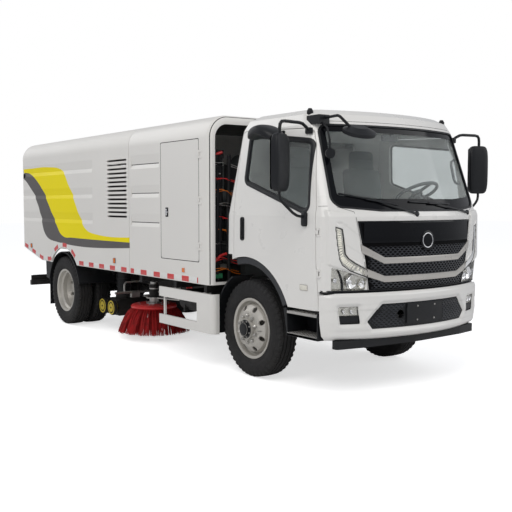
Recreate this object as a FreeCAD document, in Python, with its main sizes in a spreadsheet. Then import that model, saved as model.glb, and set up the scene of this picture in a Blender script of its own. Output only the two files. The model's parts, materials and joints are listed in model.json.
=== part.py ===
import FreeCAD
import Part
import math
import os
import Sketcher
from FreeCAD import Placement, Rotation, Vector

# Street sweeper truck: a forward-control cab on a ladder frame, a fixed engine housing and a
# tipping dust hopper behind it, two side brushes and a suction nozzle between the axles.
# +X is forward, +Y is the left side, +Z is up; the origin is on the ground under the middle.

doc = FreeCAD.newDocument("street_sweeper")
sheet = doc.addObject("Spreadsheet::Sheet", "Sizes")

SIZES = (
    # running gear
    ("rear_axle_x", -2160, "rear axle from the origin"),
    ("wheelbase", 4500, "front axle to rear axle"),
    ("tyre_radius", 495, "standing radius of every tyre"),
    ("tyre_width", 246, "widest part of a tyre"),
    ("rim_radius", 308, "rim flange"),
    ("rim_width", 208, "over the two flanges"),
    ("disc_offset", 140, "wheel centre plane to the disc's mounting face"),
    ("hub_bore", 104, "centre bore radius of a wheel disc"),
    ("hand_holes", 8, "hand holes in a wheel disc"),
    ("hand_hole_radius", 27, "radius of a hand hole"),
    ("front_wheel_y", 900, "front wheel centre plane"),
    ("rear_face_y", 850, "mounting plane of the twin wheels"),
    ("kingpin_y", 745, "kingpin axis"),
    ("kingpin_radius", 20, "kingpin"),
    ("running_gap", 0.05, "radial clearance of a pin in its bore"),
    ("seat_gap", 0.3, "clearance between seated curved faces"),
    # ladder frame
    ("rail_outer_y", 400, "outer face of a frame rail"),
    ("rail_depth", 220, "height of a frame rail"),
    ("rail_flange", 70, "width of a rail flange"),
    ("rail_plate", 8, "plate thickness of a rail"),
    ("rail_top", 860, "top of the frame rails"),
    ("frame_front", 3420, "front end of the rails"),
    ("frame_rear", -3500, "rear end of the rails"),
    ("subframe_height", 28, "spacer rail on top of the frame"),
    # sweeper body
    ("body_half", 1162, "half width of the body"),
    ("body_bottom", 895, "lower edge of the body skirts"),
    ("body_top", 2686, "top of the body"),
    ("body_wall", 30, "thickness of a body wall"),
    ("roof_round", 240, "rounding from side to roof"),
    ("hopper_rear", -3720, "rear face of the hopper"),
    ("hopper_front", 0, "front face of the hopper"),
    ("housing_front", 1818, "front face of the engine housing"),
    ("body_gap", 10, "gap between hopper and housing"),
    ("hopper_floor", 1100, "underside of the hopper floor"),
    ("tip_x", -3300, "hopper tipping axis, along the truck"),
    ("tip_z", 990, "hopper tipping axis, height"),
    ("tip_pin", 20, "radius of the tipping pins"),
    ("door_rear", 797, "rear edge of a service door"),
    ("door_front", 1605, "front edge of a service door"),
    ("door_low", 1135, "lower edge of a service door"),
    ("door_high", 2440, "upper edge of a service door"),
    ("panel_gap", 6, "gap round a door or gate"),
    ("louvre_slots", 14, "slots of a side louvre"),
    ("louvre_pitch", 54, "spacing of the slots"),
    ("louvre_slot", 24, "height of a slot"),
    # cab
    ("cab_wall", 45, "thickness of a cab wall or door"),
    ("cab_bow", 2250, "radius of the bowed cab front, in plan"),
    ("cab_corner", 95, "width of the front corner rounding"),
    ("arch_radius", 725, "front wheel arch"),
    ("cab_pivot_x", 3480, "cab tilt axis, along the truck"),
    ("cab_pivot_z", 1120, "cab tilt axis, height"),
    ("cab_pin", 15, "radius of the cab tilt pins"),
    ("bumper_top", 952, "upper edge of the bumper"),
    ("bumper_bottom", 524, "lower edge of the bumper"),
    ("bumper_front", 3750, "front of the bumper on the centre line"),
    ("bumper_skin", 6, "thickness of the bumper"),
    ("tow_bore", 17, "radius of the tow-pin socket"),
    ("tow_y", -300, "tow-pin socket, across the truck"),
    ("tow_z", 740, "tow-pin socket, height"),
    # sweeping gear
    ("brush_x", -370, "side brush axis, along the truck"),
    ("brush_y", 620, "side brush axis, across the truck"),
    ("brush_tip", 450, "radius over the bristle tips"),
    ("brush_disc", 300, "radius of the brush disc"),
    ("brush_disc_z", 400, "underside of the brush disc"),
    ("bristle_z", 60, "bristle tips above the ground"),
    ("arm_pivot_x", 170, "brush arm pin, along the truck"),
    ("arm_pivot_y", 450, "brush arm pin, across the truck"),
    ("arm_pin", 18, "radius of a brush arm pin"),
    ("nozzle_front", -1060, "front of the suction nozzle"),
    ("nozzle_rear", -1480, "rear of the suction nozzle"),
    ("nozzle_half", 780, "half width of the suction nozzle"),
    ("nozzle_bottom", 215, "lower edge of the raised nozzle"),
    ("nozzle_top", 480, "top of the nozzle"),
    ("guide_radius", 105, "radius of a nozzle guide wheel"),
    ("pipe_radius", 100, "radius of a suction pipe"),
    # hoist
    ("hoist_x", -650, "lower pin of the hoist"),
    ("hoist_z", 740, "height of the lower pin"),
    ("hoist_eye_x", -2000, "upper pin of the hoist"),
    ("hoist_eye_z", 1020, "height of the upper pin"),
)


class Size(float):
    """A number that remembers the spreadsheet expression it came from."""

    def __new__(cls, value, text):
        made = super().__new__(cls, value)
        made.text = text
        return made

    def __add__(self, other):
        return Size(float(self) + float(other), f"({self.text} + {text_of(other)})")

    def __radd__(self, other):
        return Size(float(other) + float(self), f"({text_of(other)} + {self.text})")

    def __sub__(self, other):
        return Size(float(self) - float(other), f"({self.text} - {text_of(other)})")

    def __rsub__(self, other):
        return Size(float(other) - float(self), f"({text_of(other)} - {self.text})")

    def __mul__(self, other):
        return Size(float(self) * float(other), f"({self.text} * {text_of(other)})")

    __rmul__ = __mul__

    def __truediv__(self, other):
        return Size(float(self) / float(other), f"({self.text} / {text_of(other)})")

    def __neg__(self):
        return Size(-float(self), f"(0 - {self.text})")


def text_of(value):
    if isinstance(value, Size):
        return value.text
    return f"({float(value)})"


class Sizes:
    """The driving dimensions, by name."""


size = Sizes()
for row, (alias, value, note) in enumerate(SIZES, start=1):
    sheet.set(f"A{row}", note)
    sheet.set(f"B{row}", str(value))
    sheet.setAlias(f"B{row}", alias)
    setattr(size, alias, Size(value, f"Sizes.{alias}"))
doc.recompute()

front_axle_x = size.rear_axle_x + size.wheelbase
axle_z = size.tyre_radius
nodes = {}


# ---------------------------------------------------------------- helpers


def bind(thing, **values):
    """Set properties, as expressions where the value comes from the sheet."""
    for name, value in values.items():
        setattr(thing, name, float(value))
        if isinstance(value, Size):
            thing.setExpression(name, value.text)


def place(thing, base, rotation=None):
    """Put a thing at a base point whose coordinates may be bound."""
    point = Vector(*(float(value) for value in base))
    thing.Placement = Placement(point, rotation or Rotation())
    for letter, value in zip("xyz", base):
        if isinstance(value, Size):
            thing.setExpression(f"Placement.Base.{letter}", value.text)


def box(x, y, z, name="block"):
    """A box between low and high values along each axis."""
    made = doc.addObject("Part::Box", name)
    bind(made, Length=x[1] - x[0], Width=y[1] - y[0], Height=z[1] - z[0])
    place(made, (x[0], y[0], z[0]))
    return made


TURNS = {
    "x": Rotation(Vector(0, 1, 0), 90),
    "y": Rotation(Vector(1, 0, 0), -90),
    "z": Rotation(),
}


def rod(radius, base, axis, length, name="rod"):
    """A cylinder from a base point along the axis x, y or z."""
    made = doc.addObject("Part::Cylinder", name)
    bind(made, Radius=radius, Height=length)
    place(made, base, TURNS[axis])
    return made


def cut(base, *tools, name="cut"):
    made = doc.addObject("Part::Cut", name)
    made.Base = base
    made.Tool = tools[0] if len(tools) == 1 else fuse(*tools, name="tools")
    return made


def fuse(*things, name="fused"):
    made = doc.addObject("Part::MultiFuse", name)
    made.Shapes = list(things)
    return made


def group(*things, name="group"):
    """Separate solids that share one node."""
    made = doc.addObject("Part::Compound", name)
    made.Links = list(things)
    return made


def mirrored(thing, name="mirrored"):
    """The same thing on the other side of the truck."""
    made = doc.addObject("Part::Mirroring", name)
    made.Source = thing
    made.Normal = Vector(0, 1, 0)
    return made


def pair(thing, name="pair"):
    return group(thing, mirrored(thing), name=name)


def shaped(shape, name="shape"):
    """A feature whose shape is made with Part's own functions."""
    made = doc.addObject("Part::Feature", name)
    made.Shape = shape
    return made


def node(name, thing):
    """Name a finished sub-part; its label names its file."""
    thing.Label = name
    nodes[name] = thing
    return thing


def points_to_wire(corners):
    """A closed wire through 3-D corners (point, rounding radius)."""
    count = len(corners)
    starts, ends, arcs = [], [], []
    for index in range(count):
        point, radius = corners[index]
        before = corners[index - 1][0] - point
        after = corners[(index + 1) % count][0] - point
        before.normalize()
        after.normalize()
        if radius == 0:
            starts.append(point)
            ends.append(point)
            arcs.append(None)
            continue
        half = before.getAngle(after) / 2
        reach = radius / math.tan(half)
        middle = before + after
        middle.normalize()
        depth = radius / math.sin(half) - radius
        starts.append(point + before * reach)
        ends.append(point + after * reach)
        arcs.append(point + middle * depth)
    edges = []
    for index in range(count):
        if arcs[index] is not None:
            edges.append(Part.Arc(starts[index], arcs[index], ends[index]).toShape())
        follower = starts[(index + 1) % count]
        if (follower - ends[index]).Length > 1e-6:
            edges.append(Part.LineSegment(ends[index], follower).toShape())
    return Part.Wire(edges)


def side_prism(outline, low_y, high_y):
    """Extrude a side-view outline of (x, z) or (x, z, rounding) across the truck."""
    corners = [(Vector(item[0], low_y, item[1]), item[2] if len(item) > 2 else 0) for item in outline]
    face = Part.Face(points_to_wire(corners))
    return face.extrude(Vector(0, high_y - low_y, 0))


def front_prism(outline, low_x, high_x):
    """Extrude a front-view outline of (y, z) or (y, z, rounding) along the truck."""
    corners = [(Vector(low_x, item[0], item[1]), item[2] if len(item) > 2 else 0) for item in outline]
    face = Part.Face(points_to_wire(corners))
    return face.extrude(Vector(high_x - low_x, 0, 0))


def plan_prism(outline, low_z, high_z):
    """Extrude a plan outline of (x, y) or (x, y, rounding) upwards."""
    corners = [(Vector(item[0], item[1], low_z), item[2] if len(item) > 2 else 0) for item in outline]
    face = Part.Face(points_to_wire(corners))
    return face.extrude(Vector(0, 0, high_z - low_z))


def without(shape, tools):
    """Cut the tools from a shape one after another."""
    for tool in tools:
        shape = shape.cut(tool)
    return shape


def parted(shape, regions):
    """Divide a shape into touching panels, one region after another."""
    panels = []
    for region in regions:
        panels += shape.common(region).Solids
        shape = shape.cut(region)
    return Part.makeCompound(panels + shape.Solids)


def in_mirror(shape):
    """The shape on the other side of the truck."""
    return shape.mirror(Vector(0, 0, 0), Vector(0, 1, 0))


def block(x, y, z):
    """A plain Part box for use inside a shape."""
    return Part.makeBox(x[1] - x[0], y[1] - y[0], z[1] - z[0], Vector(x[0], y[0], z[0]))


def tube_along(points, radius, bend):
    """A round bar along a path of straight runs joined by tangent arcs."""
    corners = [Vector(*point) for point in points]
    edges = []
    start = corners[0]
    for index in range(1, len(corners) - 1):
        point = corners[index]
        before = corners[index - 1] - point
        after = corners[index + 1] - point
        before.normalize()
        after.normalize()
        half = before.getAngle(after) / 2
        reach = bend / math.tan(half)
        middle = before + after
        middle.normalize()
        first = point + before * reach
        last = point + after * reach
        edges.append(Part.LineSegment(start, first).toShape())
        edges.append(Part.Arc(first, point + middle * (bend / math.sin(half) - bend), last).toShape())
        start = last
    edges.append(Part.LineSegment(start, corners[-1]).toShape())
    path = Part.Wire(edges)
    along = corners[1] - corners[0]
    ring = Part.Wire([Part.makeCircle(radius, corners[0], along)])
    return path.makePipeShell([ring], True, False)


def add_sketch(body, name, outline):
    """A sketch on the body's XY plane: a closed polygon whose points may be bound."""
    sketch = body.newObject("Sketcher::SketchObject", name)
    plane = [item for item in body.Origin.OriginFeatures if item.Role == "XY_Plane"][0]
    sketch.AttachmentSupport = [(plane, "")]
    sketch.MapMode = "FlatFace"
    count = len(outline)
    for index in range(count):
        start, end = outline[index], outline[(index + 1) % count]
        line = Part.LineSegment(Vector(float(start[0]), float(start[1]), 0),
                                Vector(float(end[0]), float(end[1]), 0))
        sketch.addGeometry(line, False)
    for index in range(count):
        sketch.addConstraint(Sketcher.Constraint("Coincident", index, 2, (index + 1) % count, 1))
    for index, point in enumerate(outline):
        for kind, value in zip(("DistanceX", "DistanceY"), point):
            number = sketch.addConstraint(Sketcher.Constraint(kind, -1, 1, index, 1, float(value)))
            if isinstance(value, Size):
                sketch.setExpression(f"Constraints[{number}]", value.text)
    return sketch


def turned(name, profile, centre, side=1):
    """A body turned about an axle along Y; the profile holds (radius, width) points."""
    body = doc.addObject("PartDesign::Body", name)
    sketch = add_sketch(body, name + "_profile", profile)
    revolution = body.newObject("PartDesign::Revolution", name + "_turned")
    revolution.Profile = sketch
    revolution.ReferenceAxis = (sketch, ["V_Axis"])
    revolution.Angle = 360
    body.Tip = revolution
    place(body, centre, Rotation() if side > 0 else Rotation(Vector(0, 0, 1), 180))
    return body


def upright(name, profile, centre):
    """A body turned about an upright axis; the profile holds (radius, height) points."""
    body = turned(name, profile, centre)
    place(body, centre, Rotation(Vector(1, 0, 0), 90))
    return body


def across(radius, x, z, near, far, side=1, name="rod"):
    """A cylinder along Y between two distances from the truck's middle, on one side."""
    low = near if side > 0 else -far
    return rod(radius, (x, low, z), "y", far - near, name)


# ---------------------------------------------------------------- wheels

half_rim = size.rim_width / 2
barrel = size.rim_radius - 46
disc_face = size.disc_offset


def rim_profile():
    """Closed half-section of a drop-centre rim with its disc: (radius, width)."""
    lip = size.rim_radius
    return (
        (lip, -half_rim),
        (lip, 8 - half_rim),
        (lip - 18, 12 - half_rim),
        (lip - 26, 44 - half_rim),
        (barrel, 64 - half_rim),
        (barrel, half_rim - 74),
        (lip - 26, half_rim - 49),
        (lip - 18, half_rim - 12),
        (lip, half_rim - 8),
        (lip, half_rim),
        (lip - 8, half_rim),
        (lip - 26, half_rim - 6),
        (lip - 36, half_rim - 45),
        (barrel - 10, half_rim - 62),
        (barrel - 26, disc_face - 40),
        (barrel - 62, disc_face - 12),
        (barrel - 84, disc_face),
        (size.hub_bore, disc_face),
        (size.hub_bore, disc_face - 12),
        (barrel - 86, disc_face - 12),
        (barrel - 68, disc_face - 24),
        (barrel - 36, disc_face - 52),
        (barrel - 12, half_rim - 80),
        (barrel - 10, 70 - half_rim),
        (lip - 36, 48 - half_rim),
        (lip - 26, 6 - half_rim),
        (lip - 8, -half_rim),
    )


def tyre_profile():
    """Closed half-section of a tyre seated on its rim: (radius, width)."""
    bead = size.rim_radius - 18 + size.seat_gap
    inner = half_rim - 8 - size.seat_gap
    wide = size.tyre_width / 2
    crown = size.tyre_radius
    lip = size.rim_radius + size.seat_gap
    half_tread = wide - 22
    right = (
        (bead, inner - 5),
        (lip, inner),
        (lip + 14, half_rim + 2),
        (lip + 52, wide - 3),
        (lip + 84, wide),
        (lip + 118, wide - 4),
        (crown - 34, wide - 10),
        (crown - 12, half_tread + 6),
        (crown - 4, half_tread - 6),
        (crown, half_tread * 0.5),
    )
    left = tuple((radius, -width) for radius, width in reversed(right))
    return right + left


def wheel(name, centre, side):
    """A rim with its disc bulging to one side, and its round hand holes."""
    rim = turned(name, rim_profile(), centre, side)
    holes = []
    ring = barrel - 51
    depth = 110
    near = centre[1] + (disc_face - 70) if side > 0 else centre[1] - (disc_face - 70) - depth
    for index in range(int(size.hand_holes)):
        angle = 2 * math.pi * (index + 0.5) / int(size.hand_holes)
        along = centre[0] + ring * math.cos(angle)
        height = centre[2] + ring * math.sin(angle)
        holes.append(rod(size.hand_hole_radius, (along, near, height), "y", depth, name + "_hole"))
    return cut(rim, *holes, name=name + "_rim")


hub_radius = size.hub_bore - size.seat_gap
spindle_radius = Size(35, "35")
outer_tyre_y = size.rear_face_y + disc_face
inner_tyre_y = size.rear_face_y - disc_face

for side, word in ((1, "left"), (-1, "right")):
    # front wheel: disc, hub with its cap, brake drum
    face_y = size.front_wheel_y + disc_face
    centre = (front_axle_x, size.front_wheel_y * side, axle_z)
    rim = wheel(f"front_{word}", centre, side)
    solid_hub = fuse(
        across(hub_radius, front_axle_x, axle_z, size.front_wheel_y + 36, face_y + 34, side),
        across(68, front_axle_x, axle_z, face_y + 34, face_y + 62, side),
        across(172, front_axle_x, axle_z, face_y - 26, face_y - 12, side),
        across(205, front_axle_x, axle_z, size.front_wheel_y - 55, size.front_wheel_y + 50, side),
        name="hub",
    )
    hollow_hub = cut(
        solid_hub,
        across(190, front_axle_x, axle_z, size.front_wheel_y - 60, size.front_wheel_y + 36, side),
        across(35 + size.running_gap, front_axle_x, axle_z, size.front_wheel_y, face_y + 20, side),
        name="hub_and_drum",
    )
    node(f"rim_front_{word}", group(rim, hollow_hub))
    node(f"tyre_front_{word}", turned(f"tyre_front_{word}", tyre_profile(), centre, side))

    # rear twin wheels: the outer disc dished inwards, the inner one outwards, meeting at the hub
    outer_centre = (size.rear_axle_x, outer_tyre_y * side, axle_z)
    inner_centre = (size.rear_axle_x, inner_tyre_y * side, axle_z)
    twin_hub = cut(
        fuse(
            across(hub_radius, size.rear_axle_x, axle_z, size.rear_face_y - 60, size.rear_face_y + 70, side),
            across(205, size.rear_axle_x, axle_z, size.rear_face_y - 200, size.rear_face_y - 40, side),
            across(172, size.rear_axle_x, axle_z, size.rear_face_y - 44, size.rear_face_y - 12, side),
            name="hub",
        ),
        across(190, size.rear_axle_x, axle_z, size.rear_face_y - 201, size.rear_face_y - 50, side),
        across(45 + size.running_gap, size.rear_axle_x, axle_z, size.rear_face_y - 201,
               size.rear_face_y + 50, side),
        name="rear_hub",
    )
    node(f"rims_rear_{word}", group(
        wheel(f"rear_outer_{word}", outer_centre, -side),
        wheel(f"rear_inner_{word}", inner_centre, side),
        twin_hub,
    ))
    node(f"tyres_rear_{word}", group(
        turned(f"outer_tyre_{word}", tyre_profile(), outer_centre, side),
        turned(f"inner_tyre_{word}", tyre_profile(), inner_centre, side),
    ))

# ---------------------------------------------------------------- axles, knuckles and steering

kingpin = size.kingpin_radius
boss_half = 60
beam_low = 395
kingpin_bore = kingpin + size.running_gap


def left_beam_half():
    """The left half of a dropped I-beam with its kingpin boss."""
    x = front_axle_x
    run = [(0, beam_low), (size.kingpin_y - 190, beam_low), (size.kingpin_y - 60, 455),
           (size.kingpin_y, 455), (size.kingpin_y, 537), (size.kingpin_y - 90, 537),
           (size.kingpin_y - 215, beam_low + 92), (0, beam_low + 92)]
    beam = front_prism(run, x - 42, x + 42)
    web = [(0, beam_low + 20), (size.kingpin_y - 180, beam_low + 20), (size.kingpin_y - 90, 478),
           (size.kingpin_y - 90, 515), (size.kingpin_y - 210, beam_low + 72), (0, beam_low + 72)]
    beam = beam.cut(front_prism(web, x + 12, x + 50)).cut(front_prism(web, x - 50, x - 12))
    boss = Part.makeCylinder(46, 2 * boss_half, Vector(x, size.kingpin_y, axle_z - boss_half))
    seat = block((x - 50, x + 50), (385, 455), (beam_low + 60, beam_low + 105))
    bore = Part.makeCylinder(kingpin_bore, 400, Vector(x, size.kingpin_y, axle_z - 200))
    return beam.fuse([boss, seat]).cut(bore)


half_beam = left_beam_half()
whole_beam = half_beam.fuse(half_beam.mirror(Vector(0, 0, 0), Vector(0, 1, 0))).removeSplitter()
node("front_axle_beam", shaped(whole_beam))

arm_back = 180
tie_z = axle_z - 128


def left_knuckle():
    """Fork, kingpin, spindle, brake backplate and steering arm."""
    x = front_axle_x
    y = size.kingpin_y
    upright_plate = block((x - 55, x + 55), (y + 50, y + 82), (axle_z - 100, axle_z + 100))
    upper = block((x - 40, x + 40), (y - 36, y + 60), (axle_z + boss_half + 1, axle_z + 98))
    lower = block((x - 40, x + 40), (y - 36, y + 60), (axle_z - 98, axle_z - boss_half - 1))
    pin = Part.makeCylinder(kingpin, 210, Vector(x, y, axle_z - 105))
    spindle = Part.makeCylinder(35, size.front_wheel_y + 150 - y - 80,
                                Vector(x, y + 80, axle_z), Vector(0, 1, 0))
    backplate = Part.makeCylinder(184, 8, Vector(x, y + 82, axle_z), Vector(0, 1, 0))
    arm = plan_prism([(x + 30, y - 30), (x + 30, y + 30), (x - arm_back - 25, y - 5),
                      (x - arm_back - 25, y - 65), (x - arm_back + 10, y - 65)],
                     tie_z + 12, tie_z + 30)
    return upright_plate.fuse([upper, lower, pin, spindle, backplate, arm]).removeSplitter()


knuckle = left_knuckle()
node("knuckle_left", shaped(knuckle))
node("knuckle_right", shaped(knuckle.mirror(Vector(0, 0, 0), Vector(0, 1, 0))))

# track rod below the two steering arms
joint_y = size.kingpin_y - 35
rod_x = front_axle_x - arm_back
track_rod = fuse(
    rod(14, (rod_x, -joint_y, tie_z - 14), "y", joint_y * 2),
    rod(24, (rod_x, joint_y, tie_z - 30), "z", 42 - size.seat_gap),
    rod(24, (rod_x, -joint_y, tie_z - 30), "z", 42 - size.seat_gap),
    name="track_rod",
)
node("track_rod", track_rod)

# rear axle: banjo case, tubes, fixed spindles, and the propeller shaft
rear_tube = 62
pinion_x = size.rear_axle_x + 300
shaft_front_x = 1837


def rear_axle_shape():
    x = size.rear_axle_x
    reach = size.rear_face_y - 110
    case = Part.makeCylinder(180, 240, Vector(x - 120, 0, axle_z), Vector(1, 0, 0))
    tubes = Part.makeCylinder(rear_tube, 2 * reach, Vector(x, -reach, axle_z), Vector(0, 1, 0))
    spindles = Part.makeCylinder(45, 2 * size.rear_face_y + 80, Vector(x, -size.rear_face_y - 40, axle_z),
                                 Vector(0, 1, 0))
    nose = Part.makeCone(120, 60, 150, Vector(x + 120, 0, axle_z), Vector(1, 0, 0))
    pads = [block((x - 60, x + 60), (side * 445 - 35, side * 445 + 35), (axle_z + 40, axle_z + 70))
            for side in (1, -1)]
    plates = [Part.makeCylinder(184, 8, Vector(x, side * (size.rear_face_y - 190) - 4, axle_z),
                                Vector(0, 1, 0)) for side in (1, -1)]
    start = Vector(x + 268, 0, axle_z)
    run = Vector(shaft_front_x, 0, 600) - start
    shaft = Part.makeCylinder(42, run.Length, start, run)
    yokes = [Part.makeCylinder(60, 100, point - Vector(0, 50, 0), Vector(0, 1, 0))
             for point in (start, start + run)]
    return case.fuse([tubes, spindles, nose, shaft] + pads + plates + yokes).removeSplitter()


node("rear_axle", shaped(rear_axle_shape()))

# leaf springs: centre x, inner edge y, height of the axle pad, half length, leaves
SPRINGS = (
    ("front", front_axle_x, 385, beam_low + 105, 620, 5),
    ("rear", size.rear_axle_x, 410, axle_z + 70, 700, 7),
)


def spring_shape(x, y, low, half_length, leaves):
    """A stack of arched leaves that shorten downwards, with eyes at the ends of the top one."""
    leaf = 10
    rise = 70
    stack = []
    for index in range(leaves):
        level = low + leaf * (leaves - 1 - index)
        reach = half_length * (1 - index * 0.8 / leaves)
        lift = rise * (reach / half_length) ** 2
        outer = Part.Arc(Vector(x - reach, y, level + lift), Vector(x, y, level),
                         Vector(x + reach, y, level + lift)).toShape()
        inner = Part.Arc(Vector(x + reach, y, level + lift + leaf), Vector(x, y, level + leaf),
                         Vector(x - reach, y, level + lift + leaf)).toShape()
        ends = [Part.LineSegment(Vector(x + reach, y, level + lift),
                                 Vector(x + reach, y, level + lift + leaf)).toShape(),
                Part.LineSegment(Vector(x - reach, y, level + lift + leaf),
                                 Vector(x - reach, y, level + lift)).toShape()]
        face = Part.Face(Part.Wire([outer, ends[0], inner, ends[1]]))
        stack.append(face.extrude(Vector(0, 70, 0)))
    top = low + leaf * leaves
    eyes = [Part.makeCylinder(24, 70, Vector(x + way * half_length, y, top + rise - 5), Vector(0, 1, 0))
            for way in (1, -1)]
    clamp = block((x - 55, x + 55), (y - 7, y + 77), (top, top + 14))
    hangers = [block((x + way * half_length - 30, x + way * half_length + 30), (400, 480),
                     (top + rise - 10, size.rail_top - 20)) for way in (1, -1)]
    whole = stack[0].fuse(stack[1:] + eyes + [clamp] + hangers)
    return whole.removeSplitter()


springs = []
for name, x, y, low, half_length, leaves in SPRINGS:
    spring = shaped(spring_shape(x, y, low, half_length, leaves), name + "_spring")
    springs.append(pair(spring))
node("leaf_springs", group(*springs))

# ---------------------------------------------------------------- frame

rail_inner_y = size.rail_outer_y - size.rail_flange
rail_low = size.rail_top - size.rail_depth
rail = cut(
    box((size.frame_rear, size.frame_front), (rail_inner_y, size.rail_outer_y), (rail_low, size.rail_top)),
    box((size.frame_rear - 5, size.frame_front + 5),
        (rail_inner_y - 5, size.rail_outer_y - size.rail_plate),
        (rail_low + size.rail_plate, size.rail_top - size.rail_plate)),
    name="rail",
)
spacer_top = size.rail_top + size.subframe_height
# the spacer stops short of the tipping axis, where the hopper sill swings down
spacer = box((size.tip_x + 75, size.housing_front), (rail_inner_y, size.rail_outer_y),
             (size.rail_top, spacer_top), "spacer")
web_y = size.rail_outer_y - size.rail_plate
CROSS_MEMBERS = (-3440, -2650, -560, 420, 1300, 1780, 3340)
members = []
for x in CROSS_MEMBERS:
    member = cut(
        box((x - 45, x + 45), (-web_y, web_y), (rail_low + 25, size.rail_top - 25)),
        box((x - 38, x + 50), (-web_y - 5, web_y + 5), (rail_low + 32, size.rail_top - 32)),
        name="cross_member",
    )
    members.append(member)

# brackets for the tipping axis, either side of each hopper sill
sill_in = size.rail_outer_y - 50
sill_out = size.rail_outer_y + 30
ear = 16
ear_gap = 3


def tip_bracket():
    """Two ears and a pin on the left rail end."""
    x, z, low = size.tip_x, size.tip_z, size.rail_top - 120
    outline = [(x - 110, low), (x + 110, low), (x + 45, z + 45, 30), (x - 45, z + 45, 30)]
    inner = side_prism(outline, sill_in - ear_gap - ear, sill_in - ear_gap)
    outer = side_prism(outline, sill_out + ear_gap, sill_out + ear_gap + ear)
    foot = block((x - 110, x + 110), (size.rail_outer_y - 2, sill_out + ear_gap + ear),
                 (low, size.rail_top - 40))
    inner = inner.cut(block((x - 200, x + 200), (0, size.rail_outer_y), (low - 5, size.rail_top - 8)))
    pin = Part.makeCylinder(size.tip_pin, sill_out - sill_in + 2 * ear_gap + 2 * ear,
                            Vector(x, sill_in - ear_gap - ear, z), Vector(0, 1, 0))
    return inner.fuse([outer, foot, pin]).removeSplitter()


def cab_bracket():
    """The upright that carries the cab's tilt pin at the front of the left rail."""
    x, z, low = size.cab_pivot_x, size.cab_pivot_z, size.rail_top - 160
    outline = [(x - 90, low), (x - 20, low), (x - 5, size.rail_top), (x + 30, z - 15), (x + 28, z + 26, 12),
               (x - 28, z + 26, 12), (x - 40, z - 20), (x - 55, 960), (x - 80, 915),
               (x - 130, size.rail_top), (x - 90, size.rail_top)]
    upright_web = side_prism(outline, size.rail_outer_y - 40, size.rail_outer_y)
    pin = Part.makeCylinder(size.cab_pin, 120, Vector(x, size.rail_outer_y - 80, z), Vector(0, 1, 0))
    carrier = block((size.frame_front - 60, size.bumper_front - 170),
                    (size.rail_outer_y - 40, size.rail_outer_y), (low + 10, low + 90))
    return upright_web.fuse([pin, carrier]).removeSplitter()


def hoist_lugs():
    """Two lugs behind the middle cross-member, with the hoist's lower pin."""
    x, z = size.hoist_x, size.hoist_z
    outline = [(-560 - 45, rail_low + 30), (-560 - 45, size.rail_top - 30), (x, z + 38, 25),
               (x - 45, z, 25), (x, z - 38, 25)]
    lugs = [side_prism(outline, side * 52 - 8, side * 52 + 8) for side in (1, -1)]
    pin = Part.makeCylinder(16, 120, Vector(x, -60, z), Vector(0, 1, 0))
    return lugs[0].fuse([lugs[1], pin]).removeSplitter()


def tow_socket():
    """Round tow-pin socket in the front cross-member."""
    x = 3340
    y, z = size.tow_y, size.tow_z
    body = Part.makeCylinder(42, 190, Vector(x - 38, y, z), Vector(1, 0, 0))
    return body.cut(Part.makeCylinder(size.tow_bore, 90, Vector(x + 62, y, z), Vector(1, 0, 0)))


# outriggers under the engine housing
BEARER_X = (180, 1000, 1640)
bearer_low = size.rail_top - 60
bearer_end = size.body_half - 60
bearers = [box((x - 30, x + 30), (size.rail_outer_y, bearer_end), (bearer_low, size.body_bottom))
           for x in BEARER_X]
# the cab's rear rest
rest_post = box((2090, 2150), (size.rail_outer_y - 40, size.rail_outer_y), (size.rail_top, 1120))
rest_pad = box((2095, 2145), (260, 340), (1180, 1224.5))
rest = [box((2090, 2150), (-size.rail_outer_y, size.rail_outer_y), (1120, 1180)),
        rest_post, mirrored(rest_post), rest_pad, mirrored(rest_pad)]
left_rail = fuse(rail, spacer, shaped(tip_bracket()), shaped(cab_bracket()), name="left_rail")
node("chassis_frame", group(left_rail, mirrored(left_rail)))
node("frame_cross_members", group(
    shaped(hoist_lugs()), shaped(tow_socket()), *members,
    *bearers, *[mirrored(bearer) for bearer in bearers], *rest,
))

# engine, gearbox and radiator under the cab, on mounts between the rails
mounts = [box((x, x + 80), y, (700, 780), "engine_mount")
          for x, reach in ((2300, 300), (2780, 300), (1980, 210), (2962, 310))
          for y in ((reach, web_y), (-web_y, -reach))]
node("engine_block", fuse(
    box((2240, 2900), (-300, 300), (600, 1160)),
    box((1900, 2240), (-210, 210), (560, 880)),
    box((2960, 3040), (-310, 310), (560, 915)),
    box((2900, 2960), (-40, 40), (760, 860)),
    *mounts,
    name="engine",
))

# ---------------------------------------------------------------- sweeper body

half = size.body_half
wall = size.body_wall
low = size.body_bottom
top = size.body_top
skin_in = half - wall


def body_section(low_x, high_x, inset, floor):
    """A length of the body's rounded cross-section, inset all round."""
    edge = half - inset
    outline = [(-edge, floor), (edge, floor), (edge, top - inset, size.roof_round - inset),
               (-edge, top - inset, size.roof_round - inset)]
    return front_prism(outline, low_x, high_x)


def body_panels(low_x, high_x):
    """Regions of the roof, its two rounded edges and the two sides of a length of the body."""
    run = (low_x - 20, high_x + 20)
    turn = half - size.roof_round
    eave = top - size.roof_round
    corner = block(run, (turn, half + 20), (eave, top + 20))
    side = block(run, (skin_in, half + 20), (low - 20, eave))
    roof = block(run, (-turn, turn), (top - wall - 20, top + 20))
    return [roof, corner, in_mirror(corner), side, in_mirror(side)]


# pressed recesses along the sides: low z, high z, depth
RECESS_ROWS = ((2170, 2332), (1826, 1974), (1480, 1630))
RECESS_DEPTH = 16


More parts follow.
